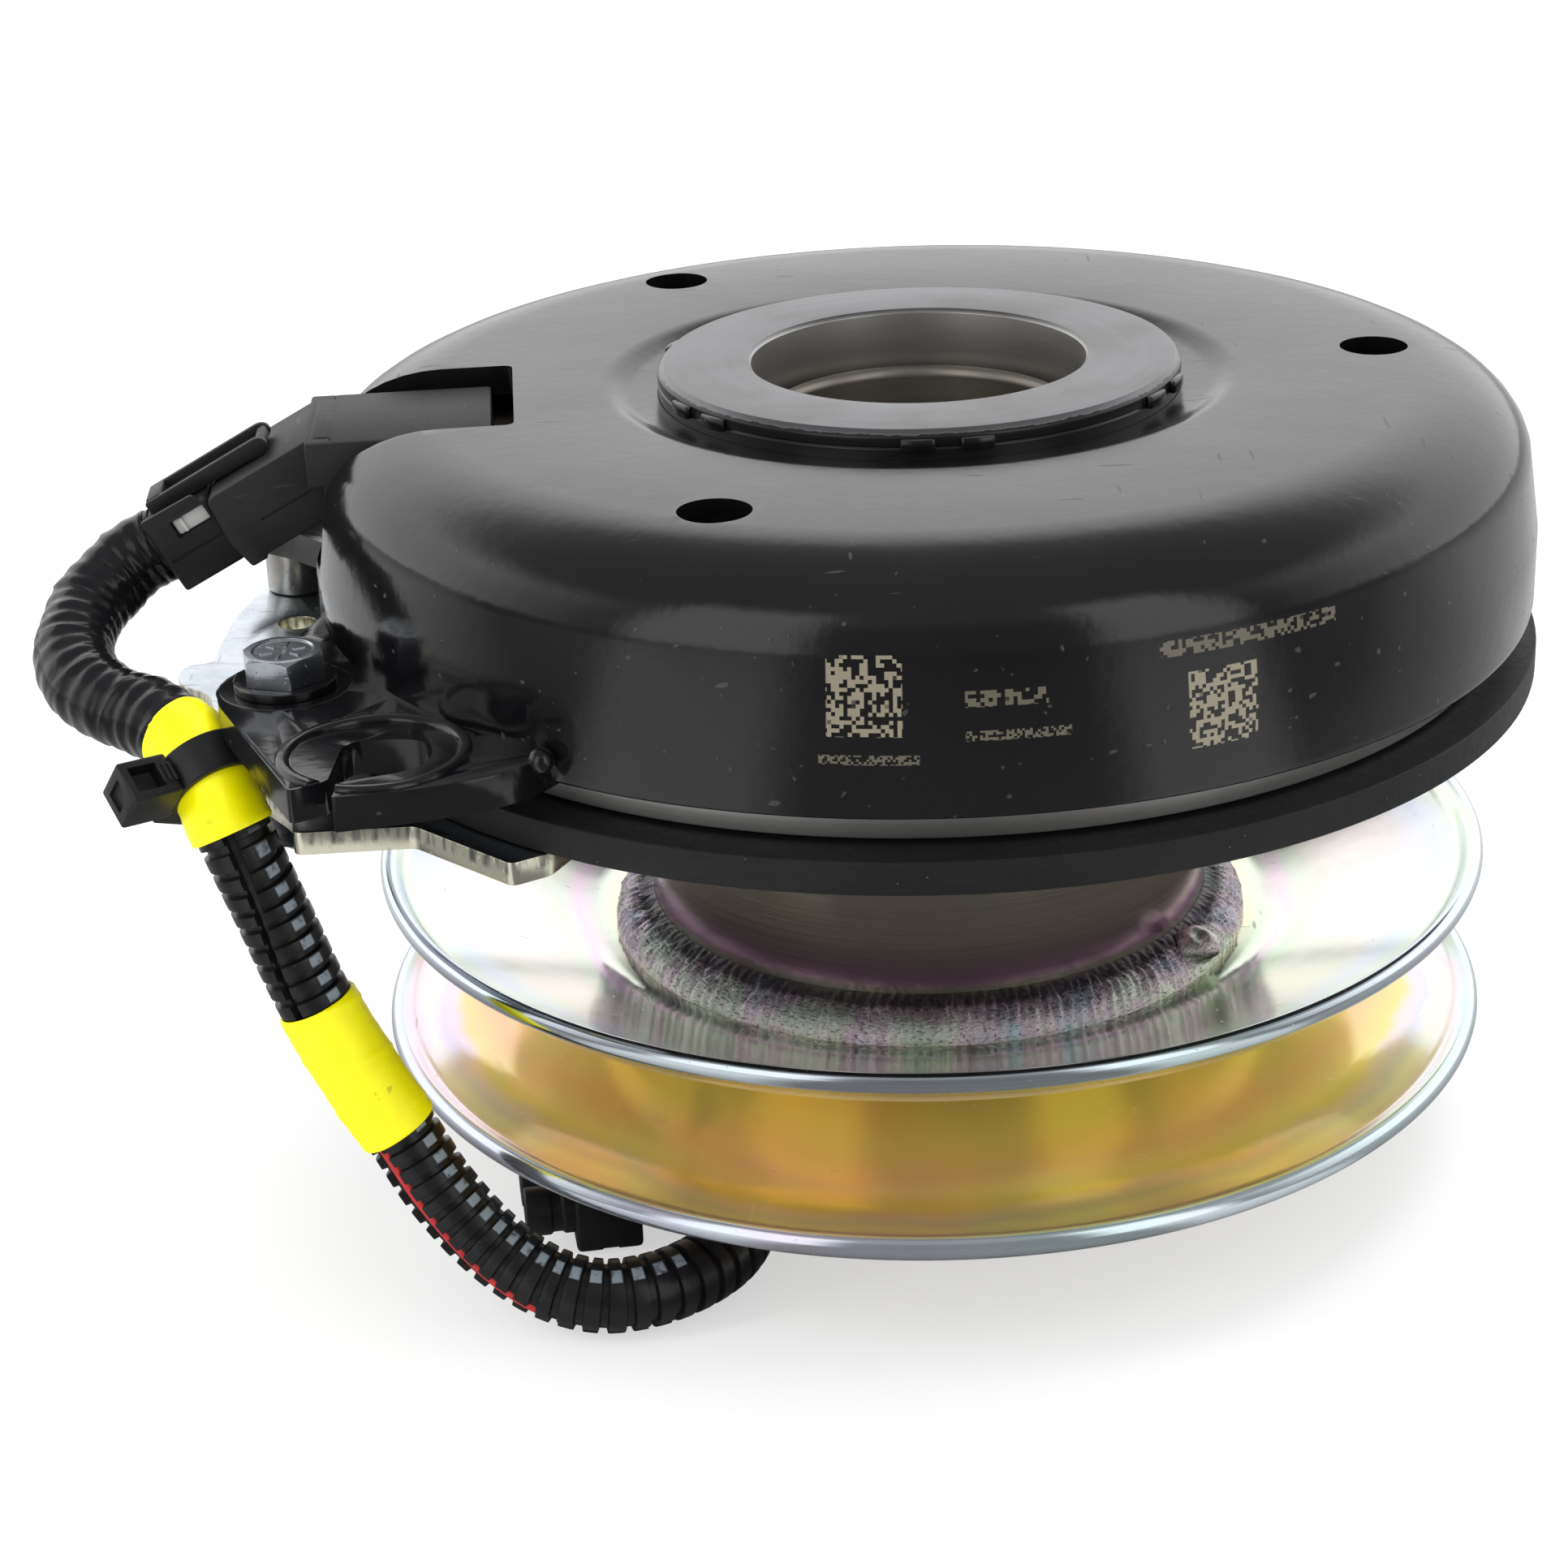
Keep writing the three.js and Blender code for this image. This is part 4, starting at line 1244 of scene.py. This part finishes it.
# %% Weld bead, combed into ripples
weld = spun("weld_bead_rippled", [
    (45.45, 36.02, 0), (51.9, 36.02, 0), (51.7, 37.4, 0), (51.0, 38.7, 0), (49.9, 39.7, 0),
    (48.6, 40.4, 0), (47.2, 41.0, 0), (46.2, 41.5, 0), (45.45, 41.7, 0)], steps=960)
for vertex in weld.data.vertices:
    p = vertex.co
    r, a = math.hypot(p.x, p.y), math.atan2(p.y, p.x)
    share = min(max((r / MM - 45.45) / 6.0, 0), 1)
    if share <= 0 or p.z < 36.1 * MM:
        continue
    chevron = math.sin(a * 170 + share * 9.0 + 1.5 * noise.noise(Vector((a * 30, share * 3, 2.0))))
    wander = noise.noise(Vector((a * 9, share * 2, 0.3)))
    grit = noise.noise(Vector((p.x, p.y, p.z)) * 1400)
    push = (0.20 * chevron + 0.45 * wander + 0.42 * grit) * MM * min(share * 4, 1)
    out = Vector((p.x / r, p.y / r, 0)) * 0.6 + Vector((0, 0, 0.8))
    vertex.co = p + out * push
blob_place = polar(49.4, -34.5, 39.6)
start_clean()
bpy.ops.mesh.primitive_uv_sphere_add(segments=40, ring_count=24, radius=3.9 * MM,
                                     location=blob_place)
blob = bpy.context.object
bpy.ops.object.transform_apply(location=True, rotation=True, scale=True)
for vertex in blob.data.vertices:
    d = vertex.co - blob_place
    lump = 1 + 0.12 * noise.noise(vertex.co * 500)
    crater = math.exp(-(((d.x - 0.0005) ** 2 + (d.y + 0.0008) ** 2) / (0.0013 ** 2)))
    d = Vector((d.x * lump, d.y * lump, d.z * 0.72 * lump - 0.0009 * crater * (d.z > 0)))
    vertex.co = blob_place + d
combine(weld, "UNION", [blob])
done(weld, "pulley", "steel", WELD_METAL, "weld_bead", angle=60)

snap = spun("snap_ring_turned", [(28.6, 40.8, 0.2), (32.4, 40.8, 0.2), (32.4, 42.2, 0.2),
                                 (28.6, 42.2, 0.2)], 96)
combine(snap, "DIFFERENCE", [block("gap", (0, 40), (-4, 4), (40, 43), bevel=0)])
done(snap, "pulley", "steel", SPRING_STEEL, "pulley_snap_ring")
print("pulley is in; weld has", len(weld.data.polygons), "faces")

# %% [markdown]
# ## The brake plate and its fixings
# A zinc-plated plate hangs under the ears on two bolts. Magnets in it pull the
# armature down when the coil is off. The plate is one sheared slab with a
# thumb tab; the bolts are hexagon prisms cut by a cone, with a ringed thread.

# %% Brake plate
BRAKE_OUTLINE = [
    (-93.6, -66.5, 1.5), (-76.3, -65.6, 1.0), (-61.6, -79.8, 1.2), (-56.3, -76.6, 1.2),
    (-50, -64, 2), (-61.5, -50.5, 6), (-71, -35, 6), (-77.6, -18, 6), (-79.6, 0, 6),
    (-77.6, 18, 6), (-71, 35, 6), (-61.5, 50.5, 6), (-55, 66, 2), (-68, 73, 4), (-84, 66, 6),
    (-98, 57, 5), (-107, 48.5, 4), (-110.6, 41.5, 6), (-114.3, 24, 6), (-115, 10, 3),
    (-115, 3.4, 1.6), (-119.2, 2.2, 1.4), (-120, -2, 1.6), (-118.6, -6.6, 1.8),
    (-113.4, -11, 2), (-112.4, -15.5, 3), (-109, -29, 6), (-103.6, -41, 4),
    (-101.5, -48.5, 4), (-94.5, -58.5, 3)]
MAGNETS = (148, 180, -152)

plate = slab("brake_plate_sheared", BRAKE_OUTLINE, 78.4, 81.95, soft=1, steps=4)
cutters = [drill(x, y, 3.4, 70, 90) for x, y in BOLTS] + [drill(-103.4, 20.4, 3.1, 70, 90)]
for degrees in MAGNETS:
    x, y, _ = polar(86, degrees) / MM
    cutters.append(drill(x, y, 5.6, 70, 90))
combine(plate, "DIFFERENCE", cutters)
ease(plate, 0.4, 2, 50)
done(plate, "field", "zinc_yellow", PLATE_ZINC, "brake_plate", angle=40)


# %% Magnets, bolts, washers, spacers and nuts
def magnet(n, degrees):
    x, y, _ = polar(86, degrees) / MM
    slug = spun("slug", [(0, 78.5, 0), (5.5, 78.5, 0.5), (5.5, 81.9, 0.5), (1.4, 81.9, 0.2),
                         (1.2, 81.5, 0.2), (0, 81.5, 0)], 48, closed=False)
    placed(slug, move=(x, y, 0)).name = f"magnet_{n}"
    done(slug, "field", "ferrite", FERRITE, f"brake_magnet_{n}")


def hexagon(r, low, high, taper_low, taper_high):
    """A six-sided prism whose corners are cut by a cone at one or both ends."""
    start_clean()
    bpy.ops.mesh.primitive_cylinder_add(vertices=6, radius=r * MM, depth=(high - low) * MM,
                                        location=(0, 0, (low + high) / 2 * MM))
    bpy.ops.object.transform_apply(location=True, rotation=True, scale=True)
    prism = bpy.context.object
    lowest = (r * 0.86, low, 0) if taper_low else (r * 1.1, low, 0)
    highest = (r * 0.86, high, 0) if taper_high else (r * 1.1, high, 0)
    cone = spun("cone", [(0, low, 0), lowest, (r * 1.1, low + r * 0.14, 0),
                         (r * 1.1, high - r * 0.14, 0), highest, (0, high, 0)], 72, closed=False)
    combine(prism, "INTERSECT", [cone])
    return ease(prism, 0.18, 2, 30)


def thread(r, low, high, pitch=1.0):
    points = [(0, low, 0), (r - 0.7, low, 0)]
    z = low + 0.5
    while z < high - 0.5:
        points += [(r, z, 0), (r, z + pitch * 0.2, 0), (r - 0.5, z + pitch * 0.6, 0)]
        z += pitch
    return points + [(r - 0.4, high, 0)]


def bolt():
    """Head, plain shank and ringed thread, drawn round the z axis."""
    head = hexagon(6.41, 98.8, 103.0, False, True)
    dish = spun("dish", [(0, 102.75, 0), (4.4, 102.75, 0.3), (4.7, 103.2, 0.1), (0, 103.2, 0)],
                48, closed=False)
    combine(head, "DIFFERENCE", [dish])
    marks = [head]
    for k in range(6):
        bar = block("bar", (1.5, 3.4), (-0.22, 0.22), (102.6, 102.93), bevel=0.08, segments=1)
        marks.append(placed(bar, Matrix.Rotation(math.radians(60 * k + 10), 4, "Z")))
    shank = spun("shank", thread(3.1, 72.2, 82) + [(3.1, 82.4, 0), (3.1, 98.9, 0), (0, 98.9, 0)],
                 40, closed=False)
    marks.append(shank)
    return placed(joined("bolt", marks), Matrix.Rotation(math.radians(12), 4, "Z"))


def nut():
    body = hexagon(6.35, 73.9, 78.3, True, True)
    combine(body, "DIFFERENCE", [drill(0, 0, 3.15, 70, 80)])
    return body


for n, degrees in enumerate(MAGNETS, 1):
    magnet(n, degrees)
models = {
    "bolt": (bolt(), "zinc_bolt", BOLT_ZINC),
    "nut": (nut(), "zinc_bolt", BOLT_ZINC),
    "washer": (spun("washer", [(3.3, 97.35), (7.6, 97.35), (7.6, 98.75), (3.3, 98.75)], 64),
               "black_paint", ENAMEL),
    "spacer": (spun("spacer", [(3.3, 82, 0.3), (5.3, 82, 0.4), (5.3, 92.25, 0.4),
                               (3.3, 92.25, 0.3)], 64), "steel", SPACER_STEEL)}
for kind, (model, slot, finish) in models.items():
    for n, (x, y) in enumerate(BOLTS, 1):
        piece = twin(model, f"fixing_{kind}_{n}", (x, y, 0))
        done(piece, "field", slot, finish, f"brake_{kind}_{n}", angle=30)
    bpy.data.objects.remove(model)
print("brake plate and its fixings are in")

# %% [markdown]
# ## The coil's lead housing, the plug and its latch
# The coil's lead comes out of the notch in a flat bar that bends down into a
# square socket. The plug sits in that socket under a springy latch strip. All
# three share one tilted frame, so they are drawn straight and then turned.

# %% Frames of the bar and the plug
TO_NOTCH = Matrix.Rotation(math.radians(184), 4, "Z")
DROP = Matrix.Rotation(math.radians(28), 4, "Y")
BEND_S, BEND_Z = 94.2, 125
PLUG_FRAME = TO_NOTCH @ Matrix.Translation(Vector((BEND_S, 0, BEND_Z)) * MM) @ DROP


def on_plug(obj):
    return placed(obj, PLUG_FRAME)


# %% Lead housing
bar = block("bar", (66.5, BEND_S + 0.6), (-13, 13), (118, BEND_Z), 0.5)
neck = block("neck", (83.6, 92.5), (-12, 12), (110.5, 118.8), 0.5)
coil_lead = combine(bar, "UNION", [neck])
seam = block("seam", (BEND_S - 3.4, BEND_S - 3.15), (-14, 14), (124.82, 126), 0, 1)
combine(coil_lead, "DIFFERENCE", [seam])
placed(coil_lead, TO_NOTCH)

wedge = slab("wedge", [(-3.2, -12.1, 0.5), (15.2, -12.1, 0.4), (15.6, -12.7, 0.3),
                       (18.3, -12.7, 0.5), (19.2, -7.7, 0.8), (18.5, -0.5, 0.5), (17.4, 0, 0.6),
                       (-0.4, 0, 1.5), (-3.2, -1.4, 1)], -10.5, 10.5, soft=0.2, bevel=0.6)
placed(wedge, Matrix.Rotation(math.radians(90), 4, "X"))
socket = block("socket", (9.5, 30), (-7.9, 7.9), (-11, -1.6), 0.3)
side_grooves = []
for y0, y1 in ((-11, -10.2), (10.2, 11)):
    side_grooves.append(block("groove", (4, 13), (y0, y1), (-7.2, -6.8), 0.1, 1))
combine(wedge, "DIFFERENCE", [socket, *side_grooves])
on_plug(wedge)
coil_housing = combine(coil_lead, "UNION", [wedge])
done(coil_housing, "field", "black_plastic", COIL_BLACK, "coil_connector", angle=30)

# %% Plug with its window
plug = block("plug", (18.7, 29.5), (-9, 9), (-11.2, 0.2), 0.6, 3)
nose = block("nose", (10.5, 19.3), (-7.5, 7.5), (-10.6, -2), 0.3)
boot = block("boot", (29, 30.6), (-5.4, 5.4), (-10.2, 0.4), 0.7, 3)
guards = [slab("guard", [(19.3, -0.6, 0), (29.4, -0.6, 0), (29.4, 1.7, 0.5), (20.3, 1.5, 0.6)],
               y - 0.55, y + 0.55, soft=0.2, bevel=0.2) for y in (-8.4, 8.4)]
guards = [placed(guard, Matrix.Rotation(math.radians(90), 4, "X")) for guard in guards]
combine(plug, "UNION", [nose, *guards])
windows = [block("window", (19.6, 25.6), (y0, y1), (-3.5, -0.5), 0.2, 1)
           for y0, y1 in ((-11, -7.6), (7.6, 11))]
grooves = [block("groove", (19.5, 28.6), (y0, y1), (-6.3, -5.8), 0.1, 1)
           for y0, y1 in ((-11, -8.7), (8.7, 11))]
combine(plug, "DIFFERENCE", windows + grooves)
combine(plug, "UNION", [boot])
on_plug(plug)
done(plug, "field", "black_plastic", PLUG_BLACK, "harness_plug", angle=30)
insert = block("plug_window_insert", (19.7, 25.4), (-8.0, 8.0), (-3.3, -0.7), 0.4)
ridge = block("ridge", (23.6, 24.2), (-8.5, 8.5), (-3.2, -0.8), 0.2)
combine(insert, "UNION", [ridge])
done(on_plug(insert), "field", "black_plastic", PALE_SEAL)

# %% Latch strip
side_outline = [(6.9, 0.9, 0.8), (8.2, 0.1, 0.4), (11.5, 0.4, 0.8), (28.2, 0.4, 0.3),
                (28.2, 2.9, 0.4), (8.0, 3.0, 0.9), (6.9, 2.2, 0.7)]
rails = []
for y in (-3.9, 3.9):
    rail = slab("rail", side_outline, y - 0.6, y + 0.6, soft=0.2, bevel=0.3)
    rails.append(placed(rail, Matrix.Rotation(math.radians(90), 4, "X")))
latch = block("latch_strip", (9.2, 28.0), (-3.7, 3.7), (0.5, 1.7), 0.3)
roller = block("roller", (7.2, 8.8), (-3.7, 3.7), (0.6, 2.5), 0.6, 4)
grip = block("grip", (25.4, 28.1), (-3.8, 3.8), (1.2, 3.1), 0.4)
combine(latch, "UNION", [*rails, roller, grip])
combine(latch, "DIFFERENCE", [block("slit", (10.6, 23.6), (-1.6, 1.6), (-1, 6), 0.3)])
done(on_plug(latch), "field", "black_plastic", PLUG_BLACK, "plug_latch", angle=30)
print("lead housing, plug and latch are in")

# %% [markdown]
# ## The cable tie and the far connector
# The tie's band is spun round its own axis and its head is a hollow block. The
# far end of the harness is a small two-way connector that rests on the floor.

# %% Cable tie
TIE_SHARE = 0.295
tie_i = round(TIE_SHARE * (RING_COUNT - 1))
tie_place, tie_along = FRAMES[tie_i][0], FRAMES[tie_i][1]
tie_x = Vector((0.76, 0.63, -0.1))
tie_x = (tie_x - tie_along * tie_x.dot(tie_along)).normalized()
tie_frame = Matrix((tie_x, tie_along.cross(tie_x), tie_along)).transposed().to_4x4()
tie_frame = Matrix.Translation(tie_place) @ tie_frame
band = spun("band", [(6.15, -3.1, 0.3), (7.3, -3.1, 0.4), (7.3, 3.1, 0.4), (6.15, 3.1, 0.3)], 72)
head = block("head", (-15.0, -7.0), (-3.6, 3.6), (-3.4, 3.4), 0.5, 3)
arm = slab("arm", [(-9.5, -4.4, 0.6), (-2.5, -7.6, 0.8), (-2.2, -6.6, 0.4), (-7.5, -2.0, 0.8),
                   (-9.5, -1.5, 0.5)], -3.1, 3.1, soft=0.4, bevel=0.3)
combine(head, "UNION", [arm])
combine(head, "DIFFERENCE", [block("slot", (-13.8, -9.2), (-8, -1.1), (-2.1, 2.1), 0.3),
                             block("slot", (-13.8, -9.2), (1.1, 8), (-2.1, 2.1), 0.3),
                             block("trim", (-16, -14.4), (-1.9, 1.9), (-1.7, 1.7), 0.3)])
pawl = block("pawl", (-12.8, -10.0), (-2.9, -1.9), (-1.4, 1.4), 0.3)
teeth = [block("tooth", (-9.4 + 0.9 * k, -8.9 + 0.9 * k), (3.3, 3.9), (-1.6, 1.6), 0.1, 1)
         for k in range(3)]
tie = joined("cable_tie_nylon", [band, head, pawl, *teeth])
done(placed(tie, tie_frame), "field", "black_plastic", TIE_NYLON, "cable_tie", angle=35)

# %% Far connector
shell = block("shell", (0.5, 11), (-9, 9), (-6, 6), 0.8, 3)
combine(shell, "DIFFERENCE", [block("waist", (4.4, 7.0), (-9.4, 9.4), (5.5, 7), 0.2),
                              block("waist", (4.4, 7.0), (-9.4, 9.4), (-7, -5.5), 0.2)])
towers = []
for y in (-4.6, 4.6):
    tower = spun("tower", [(2.0, 9.5, 0), (3.9, 9.5, 0.2), (3.9, 12.6, 0.3), (3.5, 12.9, 0.2),
                           (3.5, 14.4, 0.2), (3.9, 14.7, 0.3), (3.9, 18.6, 0.5),
                           (2.0, 18.6, 0.4)], 48)
    placed(tower, Matrix.Rotation(math.radians(90), 4, "Y"))
    towers.append(placed(tower, move=(0, y, 0)))
fin = block("fin", (2, 10), (-1.6, 1.6), (5.2, 7.4), 0.4)
combine(shell, "UNION", [fin])
far = joined("far_end_connector", [shell, *towers])
placed(far, Matrix.Rotation(math.radians(188), 4, "Z"))
placed(far, move=(-48.8, -39.1, 6.4))
done(far, "field", "black_plastic", PLUG_BLACK, "far_connector", angle=30)

done(loom, "field", "loom", None, "harness_loom", angle=50)
for wrap in WRAPS:
    done(wrap, "field", "loom", None, angle=50)
PATH = LINE[::8] + [LINE[-1]]
print("harness is declared at", round(LOOM_LENGTH, 3), "m")

# %% [markdown]
# ## Parts that stay as they are
# The coil, balls, springs, rivets and terminals are right in the frame and sit
# deep inside. They keep their shape and get a proper finish.

# %% Finishes for the kept parts
KEPT = {"coil_bobbin": BOBBIN, "coil_winding": COPPER}
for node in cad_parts:
    if node.startswith("coil_terminal"):
        KEPT[node] = COPPER
    elif "_ball_" in node:
        KEPT[node] = RACE_STEEL
    elif node.startswith("leaf_spring") or "_rivet_" in node:
        KEPT[node] = SPRING_STEEL
for node, finish in KEPT.items():
    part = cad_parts[node]
    for material_slot in part.material_slots:
        material_slot.material = finish.material
print("finished", len(KEPT), "parts of the frame")

# %% [markdown]
# ## Studio
# A pale floor, a bright room and soft lamps. Polished metal only looks like
# metal when it has something dark to mirror, so the room is white behind and
# above, and dim in front, with a few darker uprights.

# %% Floor
start_clean()
bpy.ops.mesh.primitive_circle_add(vertices=96, radius=4, fill_type="NGON", location=(0, 0, 0))
floor = bpy.context.object
floor.name = "floor"
floor.location.z = -0.0002
floor_finish = Finish("pale_floor", IOR=1.3)
paper = floor_finish.noise(3.0, 2.0)
floor_finish.set(Base_Color=floor_finish.mix(paper, (0.92, 0.92, 0.92), (0.96, 0.96, 0.96)))
floor_finish.set(Roughness=0.6 + paper * 0.1)
side = floor_finish.x.math("ARCTAN2", floor_finish.x, floor_finish.y * -1.0)
bands = side.between(-1.00, -0.45, 0.15) + side.between(0.50, 0.95, 0.15)
back = floor_finish.y.past(0.0, 0.3)
dark = 0.06 + (bands + back).clipped() * 0.34
shade = floor_finish.add("BsdfDiffuse", {}, {"Color": floor_finish.stretched(dark, dark, dark)})
mirrored = floor_finish.add("LightPath", out="Is Glossy Ray")
both = floor_finish.add("MixShader", {}, {0: mirrored * 0.95})
floor_finish.tree.links.new(floor_finish.shader.outputs[0], both.socket.node.inputs[1])
floor_finish.tree.links.new(shade.socket, both.socket.node.inputs[2])
glow = floor_finish.add("Emission", {}, {"Color": (1, 1, 1), "Strength": 1.02})
seen = floor_finish.add("LightPath", out="Is Camera Ray")
top = floor_finish.add("MixShader", {}, {0: seen * 0.55})
floor_finish.tree.links.new(both.socket, top.socket.node.inputs[1])
floor_finish.tree.links.new(glow.socket, top.socket.node.inputs[2])
floor_output = floor_finish.tree.nodes["Material Output"]
floor_finish.tree.links.new(top.socket, floor_output.inputs[0])
floor.data.materials.append(floor_finish.material)


# %% Room
def room():
    world = bpy.data.worlds.new("room")
    bpy.context.scene.world = world
    world.use_nodes = True
    f = Finish.__new__(Finish)
    f.tree = world.node_tree
    f.tree.nodes.clear()
    way = f.add("TexCoord", out="Generated")
    parts = f.add("SeparateXYZ", {}, {0: way}).socket.node
    x, y, z = [Number(f, s) for s in parts.outputs]
    front = 1 - y.past(-0.15, 0.7)
    ceiling = z.past(0.62, 0.16)
    dim = (front * (1 - ceiling) * 0.88 + ceiling * 0.80).clipped()
    turn = x.math("ARCTAN2", x, y * -1.0)
    strips = turn.between(-1.00, -0.42, 0.12) + turn.between(0.50, 0.96, 0.12)
    strips = strips * (1 - z.past(0.80, 0.1))
    level = (1.0 - dim + strips.clipped() * dim * 0.9).clipped() * 1.35
    level = level + (1 - f.add("LightPath", out="Is Glossy Ray")) * (1.15 - level)
    seen = f.add("LightPath", out="Is Camera Ray")
    level = level * (1 - seen) + seen * 1.02
    color = f.add("CombineXYZ", {}, {0: level, 1: level, 2: level * 1.01})
    glow = f.add("Background", {}, {0: color})
    out = f.tree.nodes.new("ShaderNodeOutputWorld")
    f.tree.links.new(glow.socket, out.inputs[0])


room()


# %% Lamps
def lamp(name, place, aim, size, power):
    data = bpy.data.lights.new(name, "AREA")
    data.shape = "RECTANGLE"
    data.size, data.size_y = size
    data.energy = power
    obj = bpy.data.objects.new(name, data)
    bpy.context.scene.collection.objects.link(obj)
    obj.location = place
    obj.rotation_euler = (Vector(place) - Vector(aim)).to_track_quat("Z", "Y").to_euler()
    obj.visible_glossy = False
    return obj


lamp("top_soft", (0.1, 0.25, 1.1), (0, 0, 0.1), (1.2, 0.8), 9)
lamp("left_strip", (-0.9, -0.35, 0.45), (0, 0, 0.08), (0.18, 0.8), 4)
lamp("right_strip", (0.95, -0.25, 0.4), (0, 0, 0.08), (0.18, 0.8), 3)
print("studio is ready")
